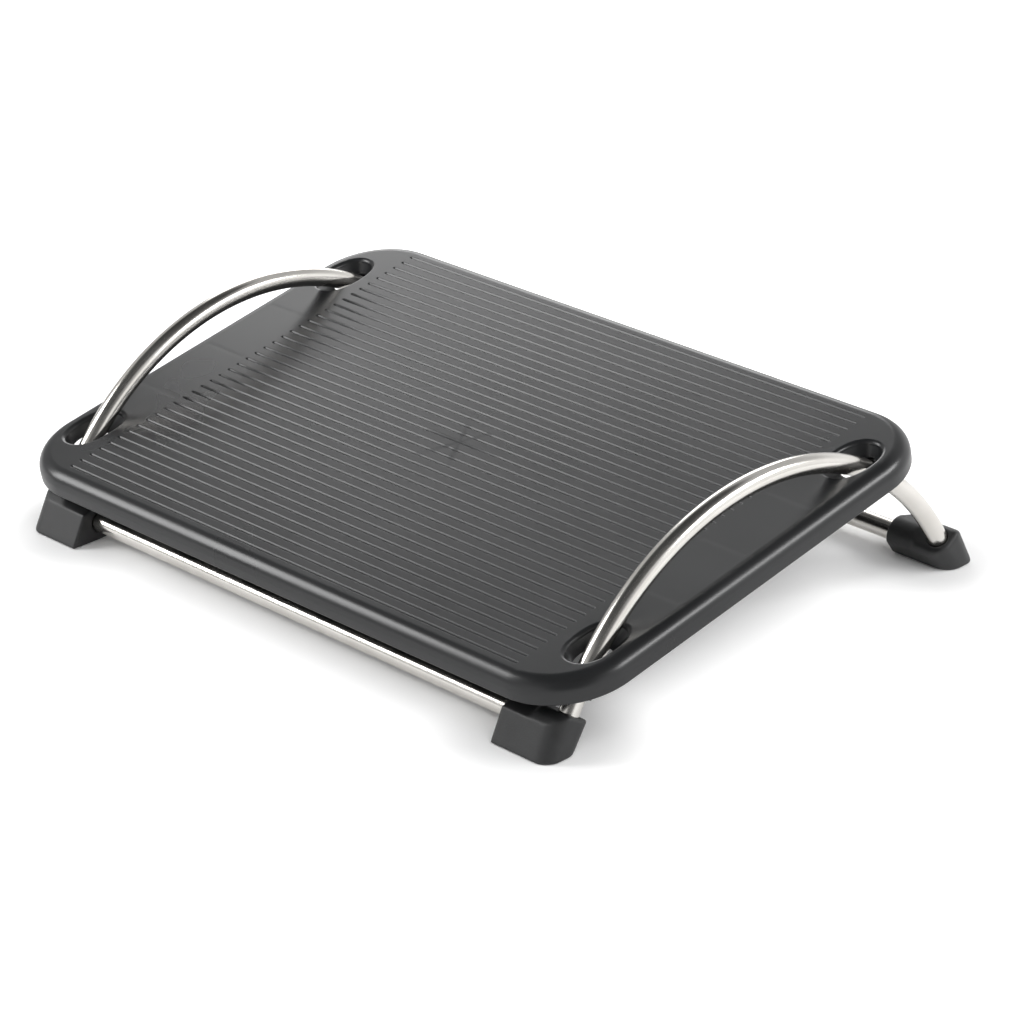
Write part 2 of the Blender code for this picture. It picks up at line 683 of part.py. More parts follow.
def foot_plan(side, end):
    # Leaning prism with round corners at the outer end, which trims the bar
    rings = []
    for z in (FOOT_LIFT, FOOT_TOP):
        outer_end = FOOT_OUTER_END - FOOT_END_DRAFT * z / FOOT_TOP
        low = (FOOT_INNER_END - FOOT_PLAN_CORNER, FOOT_INNER_BOTTOM - z * INNER_SLOPE)
        high = (outer_end, FOOT_OUTER_BOTTOM - z * OUTER_SLOPE)
        outline = rounded_rectangle(low, high, FOOT_PLAN_CORNER, z, 6)
        rings.append([mirrored(point, side, end) for point in outline])
    return loft(rings)


def foot(name, side, end, finish):
    body = make_object(name, foot_bar(side, end), finish)
    boolean(body, as_cutter(make_object(name + "_plan", foot_plan(side, end))), "INTERSECT")
    bore_start = STOP_ANGLE - 2 * ARCH_STEP
    bore_end = ARCH_HALF_ANGLE + degrees(SEAT_GAP / ARCH_RADIUS)
    rings = [arc_ring(angle, BORE_RADIUS) for angle in arc_stations(bore_start, bore_end)]
    moved = [
        [mirrored((ARCH_X + point.x, point.y, AXIS_Z + point.z), side, end) for point in ring]
        for ring in rings
    ]
    boolean(body, as_cutter(make_object(name + "_arch_bore", loft(moved))))
    bore = bmesh.new()
    reach = CROSS_TUBE_LENGTH / 2 + SEAT_GAP
    centre = (end * CROSS_TUBE_Y, CROSS_TUBE_Z)
    add_cylinder_x(bore, BORE_RADIUS, side * (FOOT_INNER_END - CUT_OVERSHOOT), side * reach, centre)
    boolean(body, as_cutter(make_object(name + "_cross_bore", bore)))
    recess = [pad_outline(side, end, PAD_MARGIN - SEAT_GAP, z) for z in (-CUT_OVERSHOOT, PAD_ROOF_Z)]
    boolean(body, as_cutter(make_object(name + "_pad_recess", loft(recess))))
    for label, radius, start, stop in (
        ("_head_pockets", HEAD_POCKET_RADIUS, -SCREW_ROOF_Z - CUT_OVERSHOOT, 0.0),
        ("_screw_holes", HOLE_RADIUS, -CUT_OVERSHOOT, ARCH_SCREW_REACH + CUT_OVERSHOOT),
    ):
        drills = bmesh.new()
        for seat, along, length in foot_screw_seats(side, end):
            frame = screw_frame(seat, along)
            rings = [circle(radius, z, SMALL_SIDES) for z in (start, stop)]
            add_loft(drills, [[frame @ point for point in ring] for ring in rings])
        boolean(body, as_cutter(make_object(name + label, drills)))
    return body


def foot_screw_seats(side, end):
    # One screw up into the cross tube's plug, one along the arched tube's end
    up = Vector((0.0, 0.0, 1.0))
    cross_seat = Vector((side * CROSS_SCREW_X, end * CROSS_TUBE_Y, SCREW_ROOF_Z))
    along = -arch_screw_direction(end)
    tube_end = arch_end(end) + Vector((side * ARCH_X, 0.0, AXIS_Z))
    arch_seat = tube_end - along * ARCH_SCREW_REACH
    return ((cross_seat, up, CROSS_SCREW_LENGTH), (arch_seat, along, ARCH_SCREW_LENGTH))


def pad_outline(side, end, margin, z):
    low = (FOOT_INNER_END + margin, FOOT_INNER_BOTTOM + margin)
    high = (FOOT_OUTER_END - margin, FOOT_OUTER_BOTTOM - margin)
    corner = FOOT_PLAN_CORNER - margin
    return [mirrored(point, side, end) for point in rounded_rectangle(low, high, corner, z, 4)]


def foot_pad(name, side, end, finish):
    rings = [pad_outline(side, end, PAD_MARGIN, z) for z in (0.0, PAD_THICKNESS)]
    return make_object(name, loft(rings), finish)


def foot_screws(name, side, end, finish):
    for kind, values in zip(("cross", "arch"), foot_screw_seats(side, end)):
        seat, along, length = values
        screw = make_object(kind + "_screw_" + name, screw_mesh(length), finish)
        screw.matrix_world = screw_frame(seat, along)


# Assembly

def build():
    clear_scene()
    black = material("black_moulded_plastic", (0.030, 0.031, 0.033), 0.42)
    foot_black = material("black_foot_plastic", (0.022, 0.022, 0.023), 0.60)
    guide_grey = material("guide_plastic", (0.050, 0.050, 0.052), 0.50)
    liner_black = material("liner_plastic", (0.026, 0.026, 0.027), 0.35)
    steel = material("polished_steel", (0.78, 0.77, 0.75), 0.22, 1.0)
    zinc = material("zinc_steel", (0.55, 0.56, 0.58), 0.35, 1.0)
    rubber = material("pad_rubber", (0.018, 0.018, 0.018), 0.85)
    tilt_axis = bpy.data.objects.new("tilt_axis", None)
    bpy.context.collection.objects.link(tilt_axis)
    tilt_axis.location = (0.0, 0.0, AXIS_Z)
    tilt_axis.rotation_euler = (radians(PLATE_TILT), 0.0, 0.0)
    footplate(tilt_axis, black)
    sides = (("left", -1), ("right", 1))
    ends = (("front", -1), ("rear", 1))
    for side_name, side in sides:
        arch_tube("arch_tube_" + side_name, side, steel)
    for end_name, end in ends:
        cross_tube("cross_tube_" + end_name, end, steel)
    for end_name, end in ends:
        for side_name, side in sides:
            corner = end_name + "_" + side_name
            foot("foot_" + corner, side, end, foot_black)
            foot_pad("foot_pad_" + corner, side, end, rubber)
            arch_plug("arch_plug_" + corner, side, end, guide_grey)
            cross_plug("cross_plug_" + corner, side, end, guide_grey)
            foot_screws(corner, side, end, zinc)
            guide_block("guide_block_" + corner, side, end, tilt_axis, guide_grey)
            glide_liner("glide_liner_" + corner, side, end, tilt_axis, liner_black)
            for hand_name, hand in (("inner", -1), ("outer", 1)):
                name = "guide_screw_" + corner + "_" + hand_name
                screw = make_object(name, screw_mesh(GUIDE_SCREW_LENGTH), zinc)
                x = side * (ARCH_X + hand * EAR_SCREW_SPACING / 2)
                place(screw, (x, end * EAR_CENTRE_Y, GUIDE_SEAT_Z), 0.0, tilt_axis)


build()
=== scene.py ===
# Looks of the tilting footrest: a black grooved plate on two bright arched tubes.
# Metres and degrees. +Z up, front at -Y, floor at z = 0.

from math import acos, cos, degrees, pi, radians, sin, sqrt, tan

import bmesh
import bpy
from mathutils import Matrix, Vector


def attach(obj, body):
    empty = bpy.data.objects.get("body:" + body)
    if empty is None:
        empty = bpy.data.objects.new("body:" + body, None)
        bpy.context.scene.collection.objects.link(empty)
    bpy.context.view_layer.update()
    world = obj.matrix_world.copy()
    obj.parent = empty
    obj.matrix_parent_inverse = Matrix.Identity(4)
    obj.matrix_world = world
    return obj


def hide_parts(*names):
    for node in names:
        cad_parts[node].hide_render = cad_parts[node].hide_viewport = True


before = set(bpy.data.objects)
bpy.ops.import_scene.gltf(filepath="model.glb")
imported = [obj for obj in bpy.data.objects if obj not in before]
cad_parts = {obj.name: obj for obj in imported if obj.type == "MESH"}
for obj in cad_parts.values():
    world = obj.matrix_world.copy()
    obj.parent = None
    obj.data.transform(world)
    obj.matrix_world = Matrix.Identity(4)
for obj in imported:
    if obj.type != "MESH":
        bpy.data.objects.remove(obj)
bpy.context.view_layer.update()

# Fits
SEAT_GAP = 0.0003
GLIDE_CLEARANCE = 0.0003
CUT_OVERSHOOT = 0.002
MERGE_DISTANCE = 0.00002
FLAT_ANGLE = 0.2

# Footplate
PLATE_WIDTH = 0.508
PLATE_DEPTH = 0.332
PLATE_HEIGHT = 0.0165
PLATE_CORNER = 0.050
PLATE_EDGE_ROUND = 0.010
PLATE_WALL = 0.003
PLATE_UNDER_ROUND = 0.0012
PLATE_UNDER_MIDDLE = 0.0004
PLATE_HOLLOW_SHOULDER = 0.0012
PLATE_SHARP = 50.0
TUBE_FROM_PLATE_EDGE = 0.06087
TILT_BEFORE_STOP = 3.513
PLATE_CORNER_STEPS = 20
PLATE_EDGE_STEPS = 10

# Grooves of the tread
GROOVE_PITCH = 0.008
GROOVE_COUNT = 39
GROOVE_MARGIN_SIDE = 0.0504
GROOVE_END_STEPS = 5
GROOVE_END_ROUND = 0.98
GROOVE_WALL_LEAN = 46.0
GROOVE_LIP_ROUND = 0.0005
GROOVE_WALL = 0.0011
GROOVE_ROOT_DROP = 0.0004
GROOVE_DROP_LEAN = 0.2
GROOVE_ROOT_FLAT = 0.00018
GROOVE_LIP_STEPS = 5
GROOVE_LIP_RUNOUT = 0.6

# Ribs under the plate
RIB_THICKNESS = 0.002
RIB_HEIGHT = 0.011
RIB_SPACING_Y = 0.058
RIB_COLUMNS = 7
RIB_LONG_ROWS = 3
RIB_ROWS = 5

# Dished slots where the tubes pass through the plate
SLOT_CENTRE_OFFSET = 0.0069
SLOT_LENGTH = 0.048
SLOT_WIDTH = 0.032
SLOT_LIP = 0.003
SLOT_SQUARENESS = 2.3
SLOT_COLLAR_WALL = 0.003
SLOT_COLLAR_DEPTH = 0.009
SLOT_TUBE_MARGIN = 0.0026
SLOT_SIDE_MARGIN = 0.0032
SLOT_SIDES = 64
SLOT_LIP_STEPS = 6
SLOT_LIP_TURN = 75.0

# Arched tubes
ARCH_RADIUS = 0.1882
ARCH_HEIGHT = 0.12215
ARCH_END_LIFT = 0.00862
ARCH_INSET = 0.0265
TUBE_DIAMETER = 0.0127
TUBE_WALL = 0.0012
TUBE_SIDES = 48
TUBE_SHARP = 40.0
ARCH_STEPS = 96

# Straight cross tubes, placed from the ends of the arches
CROSS_TUBE_SETBACK = 0.0019
CROSS_TUBE_RISE = 0.0038
CROSS_TUBE_SHORT = 0.0085

# Feet, placed from the ends of the arches
FOOT_OUTWARD = 0.0218
FOOT_INWARD = 0.0064
FOOT_OUTER_LEAN = 26.8
FOOT_INNER_LEAN = 35.0
FOOT_INNER_REACH = 0.0366
FOOT_OUTER_REACH = 0.0105
FOOT_END_DRAFT = 0.0006
FOOT_END_ROUND = 0.0045
FOOT_END_STEPS = 6
FOOT_END_TURN = 75.0
FOOT_PLAN_CORNER = 0.012
FOOT_PLAN_STEPS = 14
FOOT_RIDGE_HEIGHT = 0.0209
FOOT_SHOULDER_IN = 0.0047
FOOT_SHOULDER_UP = 0.0033
FOOT_BROW_WALL = 0.00245
FOOT_BROW_ROUND = 0.0025
FOOT_HEEL_ROUND = 0.0045
FOOT_FILLET_STEPS = 8
FOOT_SLEEVE_WALL = 0.0055
FOOT_SLEEVE_LENGTH = 0.019
FOOT_SLEEVE_FIRST_TURN = 66.0
FOOT_SLEEVE_LAST_TURN = 200.0
FOOT_BLEND_LENGTH = 0.006
FOOT_BLEND_STEPS = 8
FOOT_SOCKET_DEPTH = 0.0148
FOOT_BORE_RUNOUT = 9.0
FOOT_LIFT = 0.0005
FOOT_SKIRT = 0.006
FOOT_TOP = 0.034
FOOT_MESH_STEP = 0.0005
FOOT_SOFTENING = 40
FOOT_FACES_KEPT = 0.3
FOOT_SHARP = 60.0
PAD_THICKNESS = 0.0020
PAD_MARGIN = 0.0028
PAD_CORNER_STEPS = 10

# Guide blocks and their glide liners
BLOCK_WALL = 0.00165
BLOCK_LENGTH = 0.0094
BLOCK_BORE_RUNOUT = 5.0
BLOCK_EDGE_ROUND = 0.0004
EAR_THICKNESS = 0.004
EAR_SPAN = 0.034
EAR_DEPTH = 0.011
EAR_OFFSET = 0.0195
EAR_SCREW_SPACING = 0.028
EAR_CORNER_STEPS = 8
BOSS_RADIUS = 0.0040
BOSS_SIDES = 24
SCREW_HOLE_RADIUS = 0.0018
SCREW_HOLE_SIDES = 20
LINER_WALL = 0.0010
LINER_FLANGE = 0.0013
LINER_FLANGE_RADIUS = 0.0093
LINER_ENTRY = 0.0006
LINER_EDGE_ROUND = 0.00015
GUIDE_SHARP = 35.0
GUIDE_EDGE_SEGMENTS = 2

# Floor
FLOOR_HALF = 6.0
FLOOR_STEPS = 12
# Reach of the floor's painted shade past the feet, and the inset of its centre round each foot
FLOOR_BESIDE_FEET = 0.06
FLOOR_SHADOW_INSET = 0.013

# Light and camera, as directions from the object and places in metres
CAMERA_SIDE = (0.655, -0.631, 0.415)
KEY_LIGHT_SIDE = (0.62, -0.25, 0.74)
BOX_AIM = (0.0, 0.0, 0.05)
CAMERA_PLACE = (1.6256, -1.5489, 1.0463)
CAMERA_AZIMUTH = 46.12
CAMERA_ELEVATION = 24.51
CAMERA_ROLL = -1.25
CAMERA_LENS = 136.6

# Worked out from the sizes above
TUBE_RADIUS = TUBE_DIAMETER / 2
BORE_RADIUS = TUBE_RADIUS + SEAT_GAP
TUBE_INSIDE = TUBE_RADIUS - TUBE_WALL
ARCH_X = PLATE_WIDTH / 2 - ARCH_INSET
AXIS_Z = ARCH_HEIGHT - ARCH_RADIUS - TUBE_RADIUS
ARCH_HALF_ANGLE = degrees(acos((ARCH_END_LIFT - AXIS_Z) / ARCH_RADIUS))
ARCH_END_Y = ARCH_RADIUS * sin(radians(ARCH_HALF_ANGLE))
TUBE_CROSSING_Y = PLATE_DEPTH / 2 - TUBE_FROM_PLATE_EDGE
PLATE_TOP_ABOVE_AXIS = sqrt(ARCH_RADIUS ** 2 - TUBE_CROSSING_Y ** 2)
GROOVE_LENGTH = PLATE_WIDTH - 2 * GROOVE_MARGIN_SIDE
RIB_SPACING_X = GROOVE_LENGTH / (RIB_COLUMNS - 1)
SLOT_CENTRE_Y = TUBE_CROSSING_Y + SLOT_CENTRE_OFFSET
EAR_CENTRE_Y = SLOT_CENTRE_Y + EAR_OFFSET
CROSS_TUBE_Y = ARCH_END_Y - CROSS_TUBE_SETBACK
CROSS_TUBE_Z = ARCH_END_LIFT + CROSS_TUBE_RISE
CROSS_TUBE_LENGTH = 2 * (ARCH_X - CROSS_TUBE_SHORT)
FOOT_OUTER_BOTTOM = ARCH_END_Y + FOOT_OUTWARD
FOOT_INNER_BOTTOM = ARCH_END_Y - FOOT_INWARD
FOOT_INNER_END = ARCH_X - FOOT_INNER_REACH
FOOT_OUTER_END = ARCH_X + FOOT_OUTER_REACH
STOP_ANGLE = ARCH_HALF_ANGLE - degrees(FOOT_SOCKET_DEPTH / ARCH_RADIUS)
LINER_INSIDE = TUBE_RADIUS + GLIDE_CLEARANCE
LINER_OUTSIDE = LINER_INSIDE + LINER_WALL
BLOCK_BORE = LINER_OUTSIDE + SEAT_GAP
BLOCK_RADIUS = BLOCK_BORE + BLOCK_WALL
SEAT_Z = PLATE_TOP_ABOVE_AXIS - SLOT_COLLAR_DEPTH - SEAT_GAP
BLOCK_START_ANGLE = degrees(acos(SEAT_Z / (ARCH_RADIUS + BLOCK_RADIUS)))
BLOCK_END_ANGLE = BLOCK_START_ANGLE + degrees(BLOCK_LENGTH / ARCH_RADIUS)
FLANGE_START_ANGLE = BLOCK_END_ANGLE + degrees(SEAT_GAP / ARCH_RADIUS)
FLANGE_END_ANGLE = FLANGE_START_ANGLE + degrees(LINER_FLANGE / ARCH_RADIUS)
PLATE_TILT = STOP_ANGLE - FLANGE_END_ANGLE - TILT_BEFORE_STOP
OUTER_SLOPE = tan(radians(FOOT_OUTER_LEAN))
INNER_SLOPE = tan(radians(FOOT_INNER_LEAN))
PAD_ROOF_Z = PAD_THICKNESS + SEAT_GAP
TILT_TURN = Matrix.Rotation(radians(PLATE_TILT), 4, "X")
TILT_FRAME = Matrix.Translation((0.0, 0.0, AXIS_Z)) @ TILT_TURN
PLATE_FRAME = TILT_FRAME @ Matrix.Translation((0.0, 0.0, PLATE_TOP_ABOVE_AXIS))
SIDES = (("left", -1), ("right", 1))
ENDS = (("front", -1), ("rear", 1))
WHITE = (1.0, 1.0, 1.0, 1.0)


# Mesh building blocks

def add_loft(target, rings, closed_loop=False):
    rows = [[target.verts.new(point) for point in ring] for ring in rings]
    pairs = list(zip(rows, rows[1:]))
    if closed_loop:
        pairs.append((rows[-1], rows[0]))
    for low, high in pairs:
        count = len(low)
        for i in range(count):
            j = (i + 1) % count
            target.faces.new((low[i], low[j], high[j], high[i]))
    if not closed_loop:
        target.faces.new(rows[0])
        target.faces.new(reversed(rows[-1]))


def loft(rings, closed_loop=False):
    target = bmesh.new()
    add_loft(target, rings, closed_loop)
    return target


def circle(radius, z, sides, centre=(0.0, 0.0)):
    ring = []
    for i in range(sides):
        angle = 2 * pi * i / sides
        x = centre[0] + radius * cos(angle)
        y = centre[1] + radius * sin(angle)
        ring.append(Vector((x, y, z)))
    return ring


def rounded_rectangle(low, high, corner, z, steps):
    centres = (
        (high[0] - corner, high[1] - corner, 0.0),
        (low[0] + corner, high[1] - corner, 90.0),
        (low[0] + corner, low[1] + corner, 180.0),
        (high[0] - corner, low[1] + corner, 270.0),
    )
    ring = []
    for x, y, start in centres:
        for i in range(steps + 1):
            angle = radians(start + 90.0 * i / steps)
            ring.append(Vector((x + corner * cos(angle), y + corner * sin(angle), z)))
    return ring


def box(low, high):
    corners = [(low[0], low[1]), (high[0], low[1]), (high[0], high[1]), (low[0], high[1])]
    return [[Vector((x, y, z)) for x, y in corners] for z in (low[2], high[2])]


def oval(centre, half_x, half_y, z):
    ring = []
    power = 2 / SLOT_SQUARENESS
    for i in range(SLOT_SIDES):
        angle = 2 * pi * i / SLOT_SIDES
        across = abs(cos(angle)) ** power * (1 if cos(angle) >= 0 else -1)
        along = abs(sin(angle)) ** power * (1 if sin(angle) >= 0 else -1)
        ring.append(Vector((centre[0] + half_x * across, centre[1] + half_y * along, z)))
    return ring


def arc_ring(angle, radius):
    radial = Vector((0.0, sin(radians(angle)), cos(radians(angle))))
    ring = []
    for i in range(TUBE_SIDES):
        turn = 2 * pi * i / TUBE_SIDES
        sideways = Vector((radius * sin(turn), 0.0, 0.0))
        ring.append(radial * (ARCH_RADIUS + radius * cos(turn)) + sideways)
    return ring


def arc_angles(start, end):
    steps = max(2, round((end - start) * ARCH_STEPS / (2 * ARCH_HALF_ANGLE)))
    return [start + (end - start) * i / steps for i in range(steps + 1)]


def arc_rod(start, end, radius):
    return loft([arc_ring(angle, radius) for angle in arc_angles(start, end)])


def mirrored(point, side, end):
    return Vector((side * point[0], end * point[1], point[2]))


# From mesh to finished piece

def new_piece(name, mesh_builder, finish=None):
    mesh = bpy.data.meshes.new(name)
    bmesh.ops.recalc_face_normals(mesh_builder, faces=mesh_builder.faces)
    mesh_builder.to_mesh(mesh)
    mesh_builder.free()
    if finish is not None:
        mesh.materials.append(finish)
    piece = bpy.data.objects.new(name, mesh)
    bpy.context.scene.collection.objects.link(piece)
    return piece


def carve(piece, cuts):
    # cuts: (mesh, operation) in order; the result is a plain mesh
    tools = []
    for i, (mesh, operation) in enumerate(cuts):
        tool = new_piece(piece.name + "_cut_" + str(i), mesh)
        step = piece.modifiers.new(tool.name, "BOOLEAN")
        step.operation = operation
        step.solver = "EXACT"
        step.object = tool
        tools.append(tool)
    settle(piece)
    for tool in tools:
        bpy.data.objects.remove(tool, do_unlink=True)


def settle(piece):
    # Keeps the mesh as its modifiers leave it
    depsgraph = bpy.context.evaluated_depsgraph_get()
    piece.data = bpy.data.meshes.new_from_object(piece.evaluated_get(depsgraph))
    piece.modifiers.clear()


def tidy_mesh(piece):
    builder = bmesh.new()
    builder.from_mesh(piece.data)
    bmesh.ops.remove_doubles(builder, verts=builder.verts, dist=MERGE_DISTANCE)
    bmesh.ops.dissolve_limit(
        builder, angle_limit=radians(FLAT_ANGLE), verts=builder.verts, edges=builder.edges)
    builder.to_mesh(piece.data)
    builder.free()


def soften(piece, step, passes):
    # Even mesh, relaxed so that every edge turns into a moulded round
    even = piece.modifiers.new("even_mesh", "REMESH")
    even.mode = "VOXEL"
    even.voxel_size = step
    relaxed = piece.modifiers.new("relaxed_edges", "SMOOTH")
    relaxed.factor = 0.5
    relaxed.iterations = passes
    lighter = piece.modifiers.new("fewer_faces", "DECIMATE")
    lighter.ratio = FOOT_FACES_KEPT
    settle(piece)


def smooth_shading(piece, sharp, edge_round=0.0):
    piece.data.shade_smooth()
    piece.data.set_sharp_from_angle(angle=radians(sharp))
    if edge_round:
        soft = piece.modifiers.new("soft_edges", "BEVEL")
        soft.width = edge_round
        soft.segments = GUIDE_EDGE_SEGMENTS
        soft.limit_method = "ANGLE"
        soft.angle_limit = radians(sharp)
        soft.harden_normals = False
    even = piece.modifiers.new("even_shading", "WEIGHTED_NORMAL")
    even.keep_sharp = True
    even.weight = 80


def fit(piece, body, node):
    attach(piece, body)
    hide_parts(node)


# Node helpers

def node(tree, kind, inputs=None, **settings):
    made = tree.nodes.new(kind)
    for name, value in settings.items():
        setattr(made, name, value)
    for name, value in (inputs or {}).items():
        socket = made.inputs[name]
        if isinstance(value, bpy.types.NodeSocket):
            tree.links.new(value, socket)
        else:
            socket.default_value = value
    return made


def maths(tree, operation, first, second=0.0, clamp=False):
    made = node(
        tree, "ShaderNodeMath", {0: first, 1: second}, operation=operation, use_clamp=clamp)
    return made.outputs[0]


def times(tree, first, second):
    return maths(tree, "MULTIPLY", first, second)


def plus(tree, first, second):
    return maths(tree, "ADD", first, second)


def new_group(name, inputs, outputs):
    tree = bpy.data.node_groups.new(name, "ShaderNodeTree")
    for label, kind, default in inputs:
        socket = tree.interface.new_socket(name=label, in_out="INPUT", socket_type=kind)
        if default is not None:
            socket.default_value = default
    for label, kind in outputs:
        tree.interface.new_socket(name=label, in_out="OUTPUT", socket_type=kind)
    return tree, tree.nodes.new("NodeGroupInput"), tree.nodes.new("NodeGroupOutput")


def placed(tree, group, **values):
    made = tree.nodes.new("ShaderNodeGroup")
    made.node_tree = group
    for name, value in values.items():
        socket = made.inputs[name.replace("_", " ")]
        if isinstance(value, bpy.types.NodeSocket):
            tree.links.new(value, socket)
        else:
            socket.default_value = value
    return made


FLOAT = "NodeSocketFloat"
VECTOR = "NodeSocketVector"

# Places of the colour sockets of a Mix node, whose sockets share their names
MIX_COLOUR_A = 6
MIX_COLOUR_B = 7
MIX_COLOUR_RESULT = 2


# Effects that several finishes share

def mould_grain_group():
    # Fine spark-eroded texture of a mould, with broad changes of gloss over it
    tree, given, result = new_group(
        "Mould grain",
        [("Position", VECTOR, None), ("Grain Scale", FLOAT, 1400.0), ("Patch Scale", FLOAT, 9.0)],
        [("Height", FLOAT), ("Patches", FLOAT)],
    )
    fine = node(tree, "ShaderNodeTexNoise", {
        "Vector": given.outputs["Position"], "Scale": given.outputs["Grain Scale"],
        "Detail": 2.0, "Roughness": 0.6,
    })
    pits = node(tree, "ShaderNodeTexVoronoi", {
        "Vector": given.outputs["Position"], "Scale": given.outputs["Grain Scale"],
    })
    height = plus(tree, fine.outputs["Fac"], times(tree, pits.outputs["Distance"], 0.5))
    broad = node(tree, "ShaderNodeTexNoise", {
        "Vector": given.outputs["Position"], "Scale": given.outputs["Patch Scale"],
        "Detail": 3.0, "Roughness": 0.55,
    })
    patches = node(tree, "ShaderNodeMapRange", {
        "Value": broad.outputs["Fac"], "From Min": 0.3, "From Max": 0.7,
    })
    tree.links.new(height, result.inputs["Height"])
    tree.links.new(patches.outputs["Result"], result.inputs["Patches"])
    return tree


def scuffs_group():
    # Short rubbed lines left by shoes and hands
    tree, given, result = new_group(
        "Scuffs",
        [("Position", VECTOR, None), ("Scale", FLOAT, 60.0), ("Amount", FLOAT, 0.5)],
        [("Mask", FLOAT)],
    )
    stretched = node(tree, "ShaderNodeMapping", {
        "Vector": given.outputs["Position"], "Rotation": (0.0, 0.0, 0.6), "Scale": (1.0, 9.0, 3.0),
    })
    lines = node(tree, "ShaderNodeTexNoise", {
        "Vector": stretched.outputs["Vector"], "Scale": given.outputs["Scale"],
        "Detail": 4.0, "Roughness": 0.7, "Distortion": 0.6,
    })
    where = node(tree, "ShaderNodeTexNoise", {
        "Vector": given.outputs["Position"], "Scale": 14.0, "Detail": 2.0,
    })
    thin = node(tree, "ShaderNodeMapRange", {
        "Value": lines.outputs["Fac"], "From Min": 0.6, "From Max": 0.72,
    })
    local = node(tree, "ShaderNodeMapRange", {
        "Value": where.outputs["Fac"], "From Min": 0.48, "From Max": 0.62,
    })
    both = times(tree, thin.outputs["Result"], local.outputs["Result"])
    tree.links.new(times(tree, both, given.outputs["Amount"]), result.inputs["Mask"])
    return tree


def drawn_lines_group():
    # Fine lines that run the way the metal was drawn or turned
    tree, given, result = new_group(
        "Drawn lines",
        [("Position", VECTOR, None), ("Line Scale", VECTOR, (60.0, 9000.0, 9000.0))],
        [("Height", FLOAT), ("Tone", FLOAT)],
    )
    scaled = node(tree, "ShaderNodeVectorMath", {
        0: given.outputs["Position"], 1: given.outputs["Line Scale"],
    }, operation="MULTIPLY")
    lines = node(tree, "ShaderNodeTexNoise", {
        "Vector": scaled.outputs["Vector"], "Scale": 1.0, "Detail": 3.0, "Roughness": 0.6,
    })
    cloud = node(tree, "ShaderNodeTexNoise", {
        "Vector": given.outputs["Position"], "Scale": 26.0, "Detail": 3.0,
    })
    tone = node(tree, "ShaderNodeMapRange", {
        "Value": cloud.outputs["Fac"], "From Min": 0.3, "From Max": 0.7,
    })
    tree.links.new(lines.outputs["Fac"], result.inputs["Height"])
    tree.links.new(tone.outputs["Result"], result.inputs["Tone"])
    return tree


def blended(tree, first, second, share):
    mix = node(tree, "ShaderNodeMix", data_type="RGBA")
    mix.inputs[MIX_COLOUR_A].default_value = (*first, 1.0)
    mix.inputs[MIX_COLOUR_B].default_value = (*second, 1.0)
    tree.links.new(share, mix.inputs["Factor"])
    return mix.outputs[MIX_COLOUR_RESULT]


def ranged(tree, value, low, high):
    made = node(tree, "ShaderNodeMapRange", {"Value": value, "To Min": low, "To Max": high})
    return made.outputs["Result"]


def new_finish(name, metallic=0.0):
    finish = bpy.data.materials.new(name)
    finish.use_nodes = True
    tree = finish.node_tree
    shader = tree.nodes["Principled BSDF"]
    shader.inputs["Metallic"].default_value = metallic
    return finish, tree, shader


def bump(tree, shader, height, depth):
    relief = node(tree, "ShaderNodeBump", {
        "Height": height, "Distance": depth, "Strength": 1.0,
    })
    tree.links.new(relief.outputs["Normal"], shader.inputs["Normal"])


MOULD_GRAIN = mould_grain_group()
SCUFFS = scuffs_group()
DRAWN_LINES = drawn_lines_group()


# Finishes

def plate_plastic():
    finish, tree, shader = new_finish("satin_black_plate_plastic")
    position = tree.nodes.new("ShaderNodeTexCoord").outputs["Object"]
    grain = placed(tree, MOULD_GRAIN, Position=position, Grain_Scale=1500.0, Patch_Scale=7.0)
    scuffs = placed(tree, SCUFFS, Position=position, Scale=70.0, Amount=0.10)
    x, y, _ = separated(tree, position)
    blush = gate_blush(tree, position, x, y)
    sinks = sink_lines(tree, x, y)
    tone = maths(tree, "ADD", grain.outputs["Patches"], scuffs.outputs["Mask"], True)
    colour = blended(tree, (0.0095, 0.0100, 0.0108), (0.0150, 0.0156, 0.0166), tone)
    tree.links.new(colour, shader.inputs["Base Color"])
    dullness = ranged(tree, grain.outputs["Patches"], 0.26, 0.32)
    for mask, share in ((scuffs.outputs["Mask"], 0.12), (blush, 0.26), (sinks, 0.05)):
        dullness = plus(tree, dullness, times(tree, mask, share))
    tree.links.new(dullness, shader.inputs["Roughness"])
    height = maths(tree, "SUBTRACT", grain.outputs["Height"], times(tree, sinks, 2.2))
    bump(tree, shader, height, 0.000012)
    return finish


def separated(tree, position):
    parts = node(tree, "ShaderNodeSeparateXYZ", {"Vector": position})
    return parts.outputs["X"], parts.outputs["Y"], parts.outputs["Z"]


def gate_blush(tree, position, x, y):
    # Star-shaped dull mark where the melt entered, in the middle of the plate
    angle = maths(tree, "ARCTAN2", y, x)
    rays = maths(tree, "ABSOLUTE", maths(tree, "COSINE", times(tree, angle, 3.0)))
    wobble = node(tree, "ShaderNodeTexNoise", {"Vector": position, "Scale": 45.0, "Detail": 2.0})
    square = plus(tree, times(tree, x, x), times(tree, y, y))
    distance = maths(tree, "SQRT", square)
    reach = plus(tree, times(tree, maths(tree, "POWER", rays, 9.0), 0.026), 0.006)
    reach = times(tree, reach, plus(tree, wobble.outputs["Fac"], 0.5))
    near = maths(tree, "SUBTRACT", 1.0, maths(tree, "DIVIDE", distance, reach), True)
    return maths(tree, "POWER", near, 0.6)


